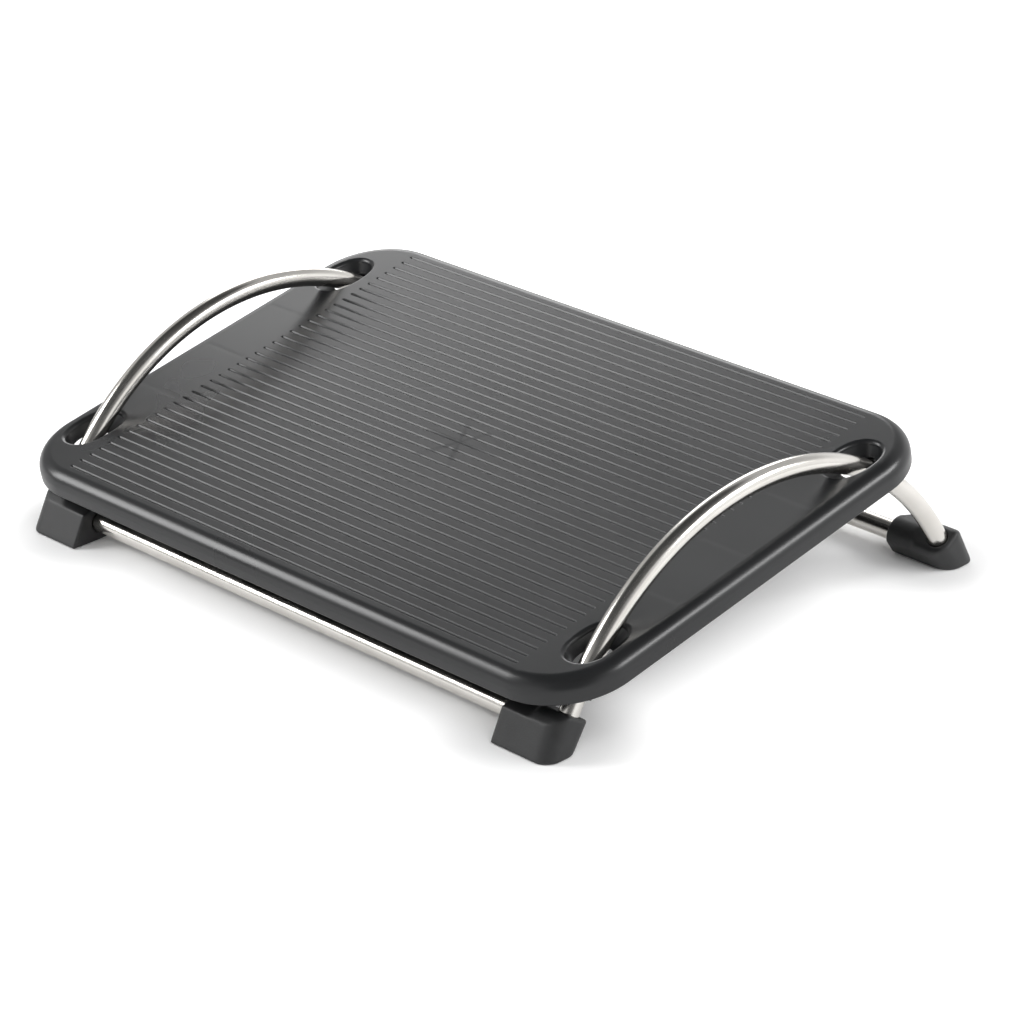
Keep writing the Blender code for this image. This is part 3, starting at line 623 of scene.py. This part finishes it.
def sink_lines(tree, x, y):
    # Faint sunk lines over the ribs on the plain panels beside the tread
    across = maths(tree, "ABSOLUTE", x)
    outside = maths(tree, "GREATER_THAN", across, GROOVE_LENGTH / 2 + 0.003)
    inside = maths(tree, "LESS_THAN", across, PLATE_WIDTH / 2 - PLATE_EDGE_ROUND - 0.002)
    row = maths(tree, "PINGPONG", y, RIB_SPACING_Y / 2)
    near = maths(tree, "SUBTRACT", 1.0, maths(tree, "DIVIDE", row, 0.0030), True)
    return times(tree, near, times(tree, outside, inside))


def plain_plastic(name, dark, light, rough_low, rough_high, grain_scale, depth):
    finish, tree, shader = new_finish(name)
    position = tree.nodes.new("ShaderNodeTexCoord").outputs["Object"]
    grain = placed(tree, MOULD_GRAIN, Position=position, Grain_Scale=grain_scale, Patch_Scale=45.0)
    scuffs = placed(tree, SCUFFS, Position=position, Scale=160.0, Amount=0.5)
    tone = maths(tree, "ADD", grain.outputs["Patches"], scuffs.outputs["Mask"], True)
    tree.links.new(blended(tree, dark, light, tone), shader.inputs["Base Color"])
    roughness = ranged(tree, grain.outputs["Patches"], rough_low, rough_high)
    tree.links.new(roughness, shader.inputs["Roughness"])
    bump(tree, shader, grain.outputs["Height"], depth)
    return finish


def bright_metal(name, dark, light, rough_low, rough_high, line_scale, depth, coordinates):
    finish, tree, shader = new_finish(name, 1.0)
    position = tree.nodes.new("ShaderNodeTexCoord").outputs[coordinates]
    lines = placed(tree, DRAWN_LINES, Position=position, Line_Scale=line_scale)
    tree.links.new(blended(tree, dark, light, lines.outputs["Tone"]), shader.inputs["Base Color"])
    mixed = times(tree, plus(tree, lines.outputs["Tone"], lines.outputs["Height"]), 0.5)
    tree.links.new(ranged(tree, mixed, rough_low, rough_high), shader.inputs["Roughness"])
    bump(tree, shader, lines.outputs["Height"], depth)
    return finish


def make_finishes():
    return {
        "plate": plate_plastic(),
        "foot": plain_plastic(
            "matt_black_foot_plastic", (0.0110, 0.0113, 0.0118), (0.0230, 0.0235, 0.0242),
            0.42, 0.56, 900.0, 0.00004),
        "guide": plain_plastic(
            "dark_guide_plastic", (0.0300, 0.0300, 0.0310), (0.0420, 0.0420, 0.0430),
            0.40, 0.50, 1200.0, 0.00002),
        "liner": plain_plastic(
            "dark_liner_plastic", (0.0200, 0.0200, 0.0205), (0.0300, 0.0300, 0.0305),
            0.28, 0.38, 1600.0, 0.00001),
        "rubber": plain_plastic(
            "pad_rubber", (0.0100, 0.0100, 0.0100), (0.0200, 0.0195, 0.0190),
            0.75, 0.90, 700.0, 0.00005),
        "tube": bright_metal(
            "polished_tube_steel", (0.740, 0.715, 0.672), (0.850, 0.826, 0.786),
            0.16, 0.24, (30.0, 5200.0, 0.0), 0.000004, "UV"),
        "screw": bright_metal(
            "zinc_plated_steel", (0.480, 0.490, 0.500), (0.620, 0.630, 0.640),
            0.28, 0.42, (900.0, 900.0, 900.0), 0.00001, "Object"),
    }


# Footplate, drawn with its top face at z = 0

def plate_outline(inset, z):
    half_x = PLATE_WIDTH / 2 - inset
    half_y = PLATE_DEPTH / 2 - inset
    corner = PLATE_CORNER - inset
    return rounded_rectangle(
        (-half_x, -half_y), (half_x, half_y), corner, z, PLATE_CORNER_STEPS)


def plate_blank():
    rings = [
        plate_outline(PLATE_UNDER_ROUND, -PLATE_HEIGHT),
        plate_outline(PLATE_UNDER_MIDDLE, -PLATE_HEIGHT + PLATE_UNDER_MIDDLE),
        plate_outline(0.0, -PLATE_HEIGHT + PLATE_UNDER_ROUND),
    ]
    for i in range(PLATE_EDGE_STEPS + 1):
        angle = radians(90.0 * i / PLATE_EDGE_STEPS)
        inset = PLATE_EDGE_ROUND * (1 - cos(angle))
        rings.append(plate_outline(inset, -PLATE_EDGE_ROUND * (1 - sin(angle))))
    return loft(rings)


def groove_profile():
    # Half width and height from the flat root up its steep sides, the leaning
    # wall and out over the rounded lip
    lean = radians(GROOVE_WALL_LEAN)
    wall_top = GROOVE_LIP_ROUND * (cos(lean) - 1)
    wall_foot = wall_top - GROOVE_WALL * sin(lean)
    width = GROOVE_ROOT_FLAT
    profile = [(width, wall_foot - GROOVE_ROOT_DROP)]
    width += GROOVE_ROOT_DROP * GROOVE_DROP_LEAN
    profile.append((width, wall_foot))
    width += GROOVE_WALL * cos(lean) + GROOVE_LIP_ROUND * sin(lean)
    for i in range(GROOVE_LIP_STEPS + 1):
        turn = lean * (1 - i / (GROOVE_LIP_STEPS + GROOVE_LIP_RUNOUT))
        profile.append((width - GROOVE_LIP_ROUND * sin(turn), GROOVE_LIP_ROUND * (cos(turn) - 1)))
    profile.append((width, CUT_OVERSHOOT))
    return profile


def groove_cutter():
    mesh = bmesh.new()
    profile = groove_profile()
    widest = profile[-1][0]
    for i in range(GROOVE_COUNT):
        y = (i - (GROOVE_COUNT - 1) / 2) * GROOVE_PITCH
        rings = []
        for half_width, z in profile:
            half_length = GROOVE_LENGTH / 2 - widest + half_width
            rings.append(rounded_rectangle(
                (-half_length, y - half_width), (half_length, y + half_width),
                half_width * GROOVE_END_ROUND, z, GROOVE_END_STEPS))
        add_loft(mesh, rings)
    return mesh


def slot_rings():
    # Down over the rounded lip and into the funnel, which follows the tube outwards
    tube_in = ARCH_RADIUS - TUBE_RADIUS
    tube_out = ARCH_RADIUS + TUBE_RADIUS
    foot_z = PLATE_TOP_ABOVE_AXIS - SLOT_COLLAR_DEPTH
    low_y = (tube_in ** 2 - foot_z ** 2) ** 0.5 - SLOT_TUBE_MARGIN
    high_y = (tube_out ** 2 - foot_z ** 2) ** 0.5 + SLOT_TUBE_MARGIN
    bottom = ((low_y + high_y) / 2, TUBE_RADIUS + SLOT_SIDE_MARGIN, (high_y - low_y) / 2)
    throat = (SLOT_CENTRE_Y, SLOT_WIDTH / 2 - SLOT_LIP, SLOT_LENGTH / 2 - SLOT_LIP)
    rings = [(SLOT_CENTRE_Y, SLOT_WIDTH / 2, SLOT_LENGTH / 2, CUT_OVERSHOOT)]
    for i in range(SLOT_LIP_STEPS + 1):
        turn = radians(SLOT_LIP_TURN * i / SLOT_LIP_STEPS)
        grow = SLOT_LIP * (1 - sin(turn))
        drop = SLOT_LIP * (1 - cos(turn))
        rings.append((throat[0], throat[1] + grow, throat[2] + grow, -drop))
    rings.append((*throat, -SLOT_LIP))
    rings.append((*bottom, -SLOT_COLLAR_DEPTH))
    rings.append((*bottom, -SLOT_COLLAR_DEPTH - CUT_OVERSHOOT))
    return rings


def at_each_slot(make_rings):
    mesh = bmesh.new()
    for side in (-1, 1):
        for end in (-1, 1):
            add_loft(mesh, make_rings(side, end))
    return mesh


def slot_cutter():
    return at_each_slot(lambda side, end: [
        oval((side * ARCH_X, end * centre), half_x, half_y, z)
        for centre, half_x, half_y, z in slot_rings()
    ])


def collar_cutter():
    half_x = SLOT_WIDTH / 2 + SLOT_COLLAR_WALL
    half_y = SLOT_LENGTH / 2 + SLOT_COLLAR_WALL
    return at_each_slot(lambda side, end: [
        oval((side * ARCH_X, end * SLOT_CENTRE_Y), half_x, half_y, z)
        for z in (-SLOT_COLLAR_DEPTH, 0.0)
    ])


def boss_cutter(radius, low, high):
    mesh = bmesh.new()
    for side in (-1, 1):
        for end in (-1, 1):
            for hand in (-1, 1):
                centre = (side * ARCH_X + hand * EAR_SCREW_SPACING / 2, end * EAR_CENTRE_Y)
                add_loft(mesh, [circle(radius, z, BOSS_SIDES, centre) for z in (low, high)])
    return mesh


def rib_cutter(along_x):
    mesh = bmesh.new()
    half = RIB_THICKNESS / 2
    low_z = -PLATE_WALL - RIB_HEIGHT
    column_end = RIB_SPACING_X * (RIB_COLUMNS - 1) / 2
    if along_x:
        for i in range(RIB_ROWS):
            row = i - (RIB_ROWS - 1) / 2
            is_long = abs(row) <= (RIB_LONG_ROWS - 1) / 2
            reach = PLATE_WIDTH / 2 if is_long else column_end
            y = row * RIB_SPACING_Y
            add_loft(mesh, box((-reach, y - half, low_z), (reach, y + half, 0.0)))
    else:
        for i in range(RIB_COLUMNS):
            x = (i - (RIB_COLUMNS - 1) / 2) * RIB_SPACING_X
            reach = PLATE_DEPTH / 2
            add_loft(mesh, box((x - half, -reach, low_z), (x + half, reach, 0.0)))
    return mesh


def plate_moulding(finish):
    hollow = new_piece("plate_hollow", loft([
        plate_outline(PLATE_WALL, -PLATE_HEIGHT - CUT_OVERSHOOT),
        plate_outline(PLATE_WALL, -PLATE_EDGE_ROUND),
        plate_outline(PLATE_WALL + PLATE_HOLLOW_SHOULDER, -PLATE_EDGE_ROUND / 2),
        plate_outline(PLATE_WALL + PLATE_EDGE_ROUND / 2, -PLATE_WALL),
    ]))
    carve(hollow, [
        (rib_cutter(True), "DIFFERENCE"),
        (rib_cutter(False), "DIFFERENCE"),
        (collar_cutter(), "DIFFERENCE"),
        (boss_cutter(BOSS_RADIUS, -SLOT_COLLAR_DEPTH, 0.0), "DIFFERENCE"),
    ])
    inside = bmesh.new()
    inside.from_mesh(hollow.data)
    bpy.data.objects.remove(hollow, do_unlink=True)
    plate = new_piece("footplate_moulding", plate_blank())
    carve(plate, [
        (inside, "DIFFERENCE"),
        (groove_cutter(), "DIFFERENCE"),
        (slot_cutter(), "DIFFERENCE"),
    ])
    tidy_mesh(plate)
    plate.data.materials.clear()
    plate.data.materials.append(finish)
    smooth_shading(plate, PLATE_SHARP)
    plate.matrix_world = PLATE_FRAME
    fit(plate, "footplate", "footplate")


# Tubes

def tube_mesh(name, rings, lengths, finish):
    # Rings of points with the same count; lengths say how far along the tube each
    # ring lies
    count = len(rings[0])
    mesh = bpy.data.meshes.new(name)
    points = [point for ring in rings for point in ring]
    faces = []
    uvs = []
    around = 2 * pi * TUBE_RADIUS / count
    for a in range(len(rings)):
        b = (a + 1) % len(rings)
        for i in range(count):
            j = (i + 1) % count
            faces.append((a * count + i, a * count + j, b * count + j, b * count + i))
            uvs += [
                (lengths[a], i * around), (lengths[a], (i + 1) * around),
                (lengths[b], (i + 1) * around), (lengths[b], i * around),
            ]
    mesh.from_pydata(points, [], faces)
    layer = mesh.uv_layers.new(name="along_the_tube")
    for loop, uv in zip(layer.data, uvs):
        loop.uv = uv
    mesh.materials.append(finish)
    piece = bpy.data.objects.new(name, mesh)
    bpy.context.scene.collection.objects.link(piece)
    piece.data.shade_smooth()
    piece.data.set_sharp_from_angle(angle=radians(TUBE_SHARP))
    return piece


def arch_tube(side_name, side, finish):
    angles = arc_angles(-ARCH_HALF_ANGLE, ARCH_HALF_ANGLE)
    rings = [arc_ring(angle, TUBE_RADIUS) for angle in angles]
    rings += [arc_ring(angle, TUBE_INSIDE) for angle in reversed(angles)]
    lengths = [radians(angle) * ARCH_RADIUS for angle in angles + angles[::-1]]
    piece = tube_mesh("arch_tube_polished_" + side_name, rings, lengths, finish)
    piece.location = (side * ARCH_X, 0.0, AXIS_Z)
    fit(piece, "frame", "arch_tube_" + side_name)


def cross_tube(end_name, end, finish):
    half = CROSS_TUBE_LENGTH / 2
    stations = [
        (-half, TUBE_RADIUS), (half, TUBE_RADIUS), (half, TUBE_INSIDE), (-half, TUBE_INSIDE),
    ]
    rings = []
    for x, radius in stations:
        rings.append([Vector((x, point.y, point.x)) for point in circle(radius, 0.0, TUBE_SIDES)])
    lengths = [x for x, _ in stations]
    piece = tube_mesh("cross_tube_polished_" + end_name, rings, lengths, finish)
    piece.location = (0.0, end * CROSS_TUBE_Y, CROSS_TUBE_Z)
    fit(piece, "frame", "cross_tube_" + end_name)


# Guide blocks and liners, drawn about the centre axis of the arches

def guide_block(corner, side, end, finish):
    half_span = EAR_SPAN / 2
    low = (-half_span, EAR_CENTRE_Y - EAR_DEPTH / 2)
    high = (half_span, EAR_CENTRE_Y + EAR_DEPTH / 2)
    heights = (SEAT_Z - EAR_THICKNESS, SEAT_Z)
    ears = loft([
        rounded_rectangle(low, high, BOSS_RADIUS, z, EAR_CORNER_STEPS) for z in heights
    ])
    bore_start = BLOCK_START_ANGLE - BLOCK_BORE_RUNOUT
    bore = arc_rod(bore_start, BLOCK_END_ANGLE + BLOCK_BORE_RUNOUT, BLOCK_BORE)
    holes = bmesh.new()
    for hand in (-1, 1):
        centre = (hand * EAR_SCREW_SPACING / 2, EAR_CENTRE_Y)
        add_loft(holes, [
            circle(SCREW_HOLE_RADIUS, z, SCREW_HOLE_SIDES, centre)
            for z in (heights[0] - CUT_OVERSHOOT, heights[1] + CUT_OVERSHOOT)
        ])
    body = arc_rod(BLOCK_START_ANGLE, BLOCK_END_ANGLE, BLOCK_RADIUS)
    piece = new_piece("guide_block_moulded_" + corner, body)
    carve(piece, [(ears, "UNION"), (bore, "DIFFERENCE"), (holes, "DIFFERENCE")])
    tidy_mesh(piece)
    piece.data.materials.clear()
    piece.data.materials.append(finish)
    smooth_shading(piece, GUIDE_SHARP, BLOCK_EDGE_ROUND)
    place_on_plate(piece, side, end)
    fit(piece, "footplate", "guide_block_" + corner)


def place_on_plate(piece, side, end):
    turn = Matrix.Identity(4) if end > 0 else Matrix.Rotation(pi, 4, "Z")
    piece.matrix_world = TILT_FRAME @ Matrix.Translation((side * ARCH_X, 0.0, 0.0)) @ turn


def glide_liner(corner, side, end, finish):
    start = BLOCK_START_ANGLE + degrees(LINER_ENTRY / ARCH_RADIUS)
    rings = [
        arc_ring(start, LINER_OUTSIDE),
        arc_ring(FLANGE_START_ANGLE, LINER_OUTSIDE),
        arc_ring(FLANGE_START_ANGLE, LINER_FLANGE_RADIUS),
        arc_ring(FLANGE_END_ANGLE, LINER_FLANGE_RADIUS),
        arc_ring(FLANGE_END_ANGLE, LINER_INSIDE),
        arc_ring(start, LINER_INSIDE),
    ]
    piece = new_piece("glide_liner_moulded_" + corner, loft(rings, closed_loop=True), finish)
    smooth_shading(piece, GUIDE_SHARP, LINER_EDGE_ROUND)
    place_on_plate(piece, side, end)
    fit(piece, "footplate", "glide_liner_" + corner)


# Feet, drawn at the rear right and mirrored to the other corners

def fillet(before, corner, after, radius, steps):
    to_before = (before - corner).normalized()
    to_after = (after - corner).normalized()
    half = to_before.angle(to_after) / 2
    centre = corner + (to_before + to_after).normalized() * (radius / sin(half))
    first = corner + to_before * (radius / tan(half)) - centre
    last = corner + to_after * (radius / tan(half)) - centre
    sweep = first.angle_signed(last)
    return [centre + Matrix.Rotation(-sweep * i / steps, 2) @ first for i in range(steps + 1)]


def line_crossing(point_a, along_a, point_b, along_b):
    across = along_a.x * along_b.y - along_a.y * along_b.x
    offset = point_b - point_a
    reach = (offset.x * along_b.y - offset.y * along_b.x) / across
    return point_a + along_a * reach


def foot_sections():
    # Two outlines in (outwards, up) with the same number of points:
    # a sleeve round the cross tube, and a crown cut square to the arched tube
    radial = Vector((sin(radians(STOP_ANGLE)), cos(radians(STOP_ANGLE))))
    axis = Vector((0.0, AXIS_Z))
    outer_foot = Vector((FOOT_OUTER_BOTTOM, 0.0))
    inner_foot = Vector((FOOT_INNER_BOTTOM, 0.0))
    ridge = Vector((FOOT_OUTER_BOTTOM - FOOT_RIDGE_HEIGHT * OUTER_SLOPE, FOOT_RIDGE_HEIGHT))
    shoulder = ridge + Vector((-FOOT_SHOULDER_IN, FOOT_SHOULDER_UP))
    brow = axis + radial * (ARCH_RADIUS + TUBE_RADIUS + FOOT_BROW_WALL)
    heel = line_crossing(inner_foot, Vector((-INNER_SLOPE, 1.0)), axis, radial)
    outer_low = outer_foot + Vector((FOOT_SKIRT, -FOOT_SKIRT))
    inner_low = inner_foot + Vector((-FOOT_SKIRT, -FOOT_SKIRT))
    crown_part = [outer_low, ridge, shoulder]
    crown_part += fillet(shoulder, brow, heel, FOOT_BROW_ROUND, FOOT_FILLET_STEPS)
    crown_part += fillet(brow, heel, inner_foot, FOOT_HEEL_ROUND, FOOT_FILLET_STEPS)
    crown_part.append(inner_low)
    middle = Vector((CROSS_TUBE_Y, CROSS_TUBE_Z))
    sleeve_part = [outer_low, ridge]
    arc_count = len(crown_part) - 3
    sweep = FOOT_SLEEVE_LAST_TURN - FOOT_SLEEVE_FIRST_TURN
    sleeve_radius = TUBE_RADIUS + FOOT_SLEEVE_WALL
    for i in range(arc_count):
        angle = radians(FOOT_SLEEVE_FIRST_TURN + sweep * i / (arc_count - 1))
        sleeve_part.append(middle + Vector((cos(angle), sin(angle))) * sleeve_radius)
    sleeve_part.append(inner_low)
    return sleeve_part, crown_part


def shrunk(outline, inset):
    # Moves the upper points towards the tube's end by the given length
    middle = Vector((ARCH_END_Y, ARCH_END_LIFT))
    inner = [point + (middle - point).normalized() * inset for point in outline[1:-1]]
    return [outline[0], *inner, outline[-1]]


def foot_bar(side, end):
    sleeve_part, crown_part = foot_sections()
    blend_start = FOOT_INNER_END + FOOT_SLEEVE_LENGTH
    stations = [(FOOT_INNER_END, sleeve_part), (blend_start, sleeve_part)]
    for i in range(1, FOOT_BLEND_STEPS + 1):
        share = i / FOOT_BLEND_STEPS
        eased = share * share * (3 - 2 * share)
        outline = [low.lerp(high, eased) for low, high in zip(sleeve_part, crown_part)]
        stations.append((blend_start + FOOT_BLEND_LENGTH * share, outline))
    round_start = FOOT_OUTER_END - FOOT_END_ROUND
    for i in range(FOOT_END_STEPS + 1):
        turn = radians(FOOT_END_TURN * i / FOOT_END_STEPS)
        inset = FOOT_END_ROUND * (1 - cos(turn))
        stations.append((round_start + FOOT_END_ROUND * sin(turn), shrunk(crown_part, inset)))
    stations.append((FOOT_OUTER_END + SEAT_GAP, shrunk(crown_part, FOOT_END_ROUND)))
    rings = []
    for x, outline in stations:
        rings.append([mirrored((x, point.x, point.y), side, end) for point in outline])
    return loft(rings)


def foot_plan(side, end):
    # Leaning prism with round corners at the outer end, which trims the bar
    rings = []
    for z in (FOOT_LIFT, FOOT_TOP):
        outer_end = FOOT_OUTER_END - FOOT_END_DRAFT * z / FOOT_TOP
        low = (FOOT_INNER_END - FOOT_PLAN_CORNER, FOOT_INNER_BOTTOM - z * INNER_SLOPE)
        high = (outer_end, FOOT_OUTER_BOTTOM - z * OUTER_SLOPE)
        outline = rounded_rectangle(low, high, FOOT_PLAN_CORNER, z, FOOT_PLAN_STEPS)
        rings.append([mirrored(point, side, end) for point in outline])
    return loft(rings)


def pad_outline(side, end, margin, z):
    low = (FOOT_INNER_END + margin, FOOT_INNER_BOTTOM + margin)
    high = (FOOT_OUTER_END - margin, FOOT_OUTER_BOTTOM - margin)
    outline = rounded_rectangle(low, high, FOOT_PLAN_CORNER - margin, z, PAD_CORNER_STEPS)
    return [mirrored(point, side, end) for point in outline]


def foot(corner, side, end, finish):
    piece = new_piece("foot_moulded_" + corner, foot_bar(side, end))
    arch_bore = []
    bore_end = ARCH_HALF_ANGLE + degrees(SEAT_GAP / ARCH_RADIUS)
    for angle in arc_angles(STOP_ANGLE - FOOT_BORE_RUNOUT, bore_end):
        ring = arc_ring(angle, BORE_RADIUS)
        arch_bore.append([
            mirrored((ARCH_X + point.x, point.y, AXIS_Z + point.z), side, end) for point in ring
        ])
    cross_bore = []
    for x in (FOOT_INNER_END - CUT_OVERSHOOT, CROSS_TUBE_LENGTH / 2 + SEAT_GAP):
        ring = circle(BORE_RADIUS, 0.0, TUBE_SIDES)
        cross_bore.append([
            Vector((side * x, end * CROSS_TUBE_Y + point.y, CROSS_TUBE_Z + point.x))
            for point in ring
        ])
    pad_recess = [
        pad_outline(side, end, PAD_MARGIN - SEAT_GAP, z) for z in (-CUT_OVERSHOOT, PAD_ROOF_Z)
    ]
    carve(piece, [
        (foot_plan(side, end), "INTERSECT"),
        (loft(arch_bore), "DIFFERENCE"),
        (loft(cross_bore), "DIFFERENCE"),
        (loft(pad_recess), "DIFFERENCE"),
    ])
    piece.data.materials.clear()
    piece.data.materials.append(finish)
    soften(piece, FOOT_MESH_STEP, FOOT_SOFTENING)
    smooth_shading(piece, FOOT_SHARP)
    fit(piece, "frame", "foot_" + corner)


# Finishes for the CAD nodes that are shown as they are

def dress_nodes(finishes):
    words = (
        ("foot_pad", "rubber"),
        ("arch_plug", "guide"),
        ("cross_plug", "guide"),
        ("screw", "screw"),
    )
    for name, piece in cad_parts.items():
        if piece.hide_render:
            continue
        for word, finish in words:
            if word in name:
                piece.data.materials.clear()
                piece.data.materials.append(finishes[finish])


# Floor, light and camera

def past(tree, value, limit):
    # How far a coordinate lies past a limit, on either side of the middle
    return maths(tree, "SUBTRACT", maths(tree, "ABSOLUTE", value), limit)


def floor_piece():
    # The camera sees it lit up to white away from the object. Under and beside the object it keeps
    # its cast shadow, and its glow also fades under the plate and round the feet, so part of the
    # shade there is painted.
    builder = bmesh.new()
    bmesh.ops.create_grid(
        builder, x_segments=FLOOR_STEPS, y_segments=FLOOR_STEPS, size=FLOOR_HALF)
    floor = new_piece("floor", builder)
    finish, tree, shader = new_finish("white_floor")
    shader.inputs["Roughness"].default_value = 0.9
    shader.inputs["Specular IOR Level"].default_value = 0.1
    position = tree.nodes.new("ShaderNodeTexCoord").outputs["Object"]
    paper = placed(tree, MOULD_GRAIN, Position=position, Grain_Scale=300.0, Patch_Scale=2.0)
    colour = blended(tree, (0.90, 0.90, 0.90), (0.92, 0.92, 0.92), paper.outputs["Patches"])
    tree.links.new(colour, shader.inputs["Base Color"])
    shader.inputs["Emission Color"].default_value = WHITE
    seen = node(tree, "ShaderNodeLightPath").outputs["Is Camera Ray"]
    x, y, _ = separated(tree, position)
    beyond_x = past(tree, x, PLATE_WIDTH / 2)
    beyond_y = past(tree, y, FOOT_OUTER_BOTTOM + FLOOR_BESIDE_FEET)
    beyond = maths(tree, "MAXIMUM", beyond_x, beyond_y)
    # Painted shade: the glow drops from 0.50 beside the object to 0.03 under the plate
    glow_with_painted_shade = eased(tree, beyond, -0.11, -0.01, 0.03, 0.50)
    from_foot_x = past(tree, x, ARCH_X - FLOOR_SHADOW_INSET)
    from_foot_y = past(tree, y, ARCH_END_Y)
    square_x = maths(tree, "POWER", from_foot_x, 2.0)
    square_y = maths(tree, "POWER", from_foot_y, 2.0)
    from_foot = maths(tree, "SQRT", plus(tree, square_x, square_y))
    # Painted shade: the glow fades to nothing round each foot
    painted_foot_shade_fade = eased(tree, from_foot, 0.025, 0.085, 0.0, 1.0)
    strength = times(tree, seen, times(tree, glow_with_painted_shade, painted_foot_shade_fade))
    tree.links.new(strength, shader.inputs["Emission Strength"])
    floor.data.materials.append(finish)


def studio_world():
    # Reflections see a horizon that is white on the right and greyer on the left, a
    # grey band above it, a dark ceiling and a dark room behind the camera. Matt
    # surfaces see an even light with a soft key high on the right.
    world = bpy.data.worlds.new("studio")
    bpy.context.scene.world = world
    world.use_nodes = True
    tree = world.node_tree
    background = tree.nodes["Background"]
    background.inputs["Color"].default_value = WHITE
    direction = tree.nodes.new("ShaderNodeTexCoord").outputs["Generated"]
    x, y, height = separated(tree, direction)
    band = eased(tree, height, 0.25, 0.50, 0.0, 1.0)
    horizon = lerped(tree, band, eased(tree, x, -0.75, -0.2, 0.45, 1.0), 0.50)
    lowered = maths(tree, "SUBTRACT", height, eased(tree, y, 0.35, 0.70, 0.0, 0.16))
    ceiling = eased(tree, lowered, 0.66, 0.78, 1.0, 0.08)
    room = eased(tree, towards(tree, direction, CAMERA_SIDE), 0.76, 0.95, 1.0, 0.15)
    mirrored_light = times(tree, times(tree, horizon, ceiling), room)
    matt_light = eased(tree, towards(tree, direction, KEY_LIGHT_SIDE), 0.87, 0.97, 0.40, 3.2)
    path = node(tree, "ShaderNodeLightPath").outputs
    light = lerped(tree, path["Is Glossy Ray"], matt_light, mirrored_light)
    tree.links.new(lerped(tree, path["Is Camera Ray"], light, 1.0), background.inputs["Strength"])


def towards(tree, direction, aim):
    made = node(tree, "ShaderNodeVectorMath", {0: direction, 1: aim}, operation="DOT_PRODUCT")
    return made.outputs["Value"]


def eased(tree, value, low, high, at_low, at_high):
    # From at_low to at_high while the value goes from low to high
    made = node(tree, "ShaderNodeMapRange", {
        "Value": value, "From Min": low, "From Max": high, "To Min": at_low, "To Max": at_high,
    }, interpolation_type="SMOOTHSTEP")
    return made.outputs["Result"]


def lerped(tree, share, first, second):
    made = node(tree, "ShaderNodeMix", {0: share, 2: first, 3: second}, data_type="FLOAT")
    return made.outputs[0]


def soft_box(name, place, aim, width, height, watts):
    light = bpy.data.lights.new(name, "AREA")
    light.shape = "RECTANGLE"
    light.size = width
    light.size_y = height
    light.energy = watts
    lamp = bpy.data.objects.new(name, light)
    bpy.context.scene.collection.objects.link(lamp)
    lamp.location = place
    lamp.rotation_mode = "QUATERNION"
    lamp.rotation_quaternion = (Vector(aim) - Vector(place)).to_track_quat("-Z", "Y")


def camera():
    data = bpy.data.cameras.new("photo_view")
    data.sensor_width = 36.0
    data.lens = CAMERA_LENS
    data.clip_start = 0.05
    data.clip_end = 50.0
    view = bpy.data.objects.new("photo_view", data)
    bpy.context.scene.collection.objects.link(view)
    azimuth = radians(CAMERA_AZIMUTH)
    elevation = radians(CAMERA_ELEVATION)
    roll = radians(CAMERA_ROLL)
    outwards = cos(elevation)
    back = Vector((sin(azimuth) * outwards, -cos(azimuth) * outwards, sin(elevation)))
    level = Vector((0.0, 0.0, 1.0)).cross(back).normalized()
    upright = back.cross(level)
    right = level * cos(roll) + upright * sin(roll)
    up = back.cross(right)
    turn = Matrix((right, up, back)).transposed().to_4x4()
    turn.translation = Vector(CAMERA_PLACE)
    view.matrix_world = turn
    bpy.context.scene.camera = view


def build():
    finishes = make_finishes()
    plate_moulding(finishes["plate"])
    for side_name, side in SIDES:
        arch_tube(side_name, side, finishes["tube"])
    for end_name, end in ENDS:
        cross_tube(end_name, end, finishes["tube"])
        for side_name, side in SIDES:
            corner = end_name + "_" + side_name
            foot(corner, side, end, finishes["foot"])
            guide_block(corner, side, end, finishes["guide"])
            glide_liner(corner, side, end, finishes["liner"])
    dress_nodes(finishes)
    floor_piece()
    studio_world()
    soft_box("rear_left_box", (-1.50, 1.35, 0.88), BOX_AIM, 1.2, 0.8, 10.0)
    soft_box("rear_right_box", (1.42, 0.98, 1.12), (0.1, 0.0, 0.05), 1.2, 0.42, 17.0)
    soft_box("front_left_box", (-1.45, -1.15, 1.05), BOX_AIM, 0.7, 1.1, 22.0)
    camera()
    bpy.context.scene.view_settings.view_transform = "Standard"


build()
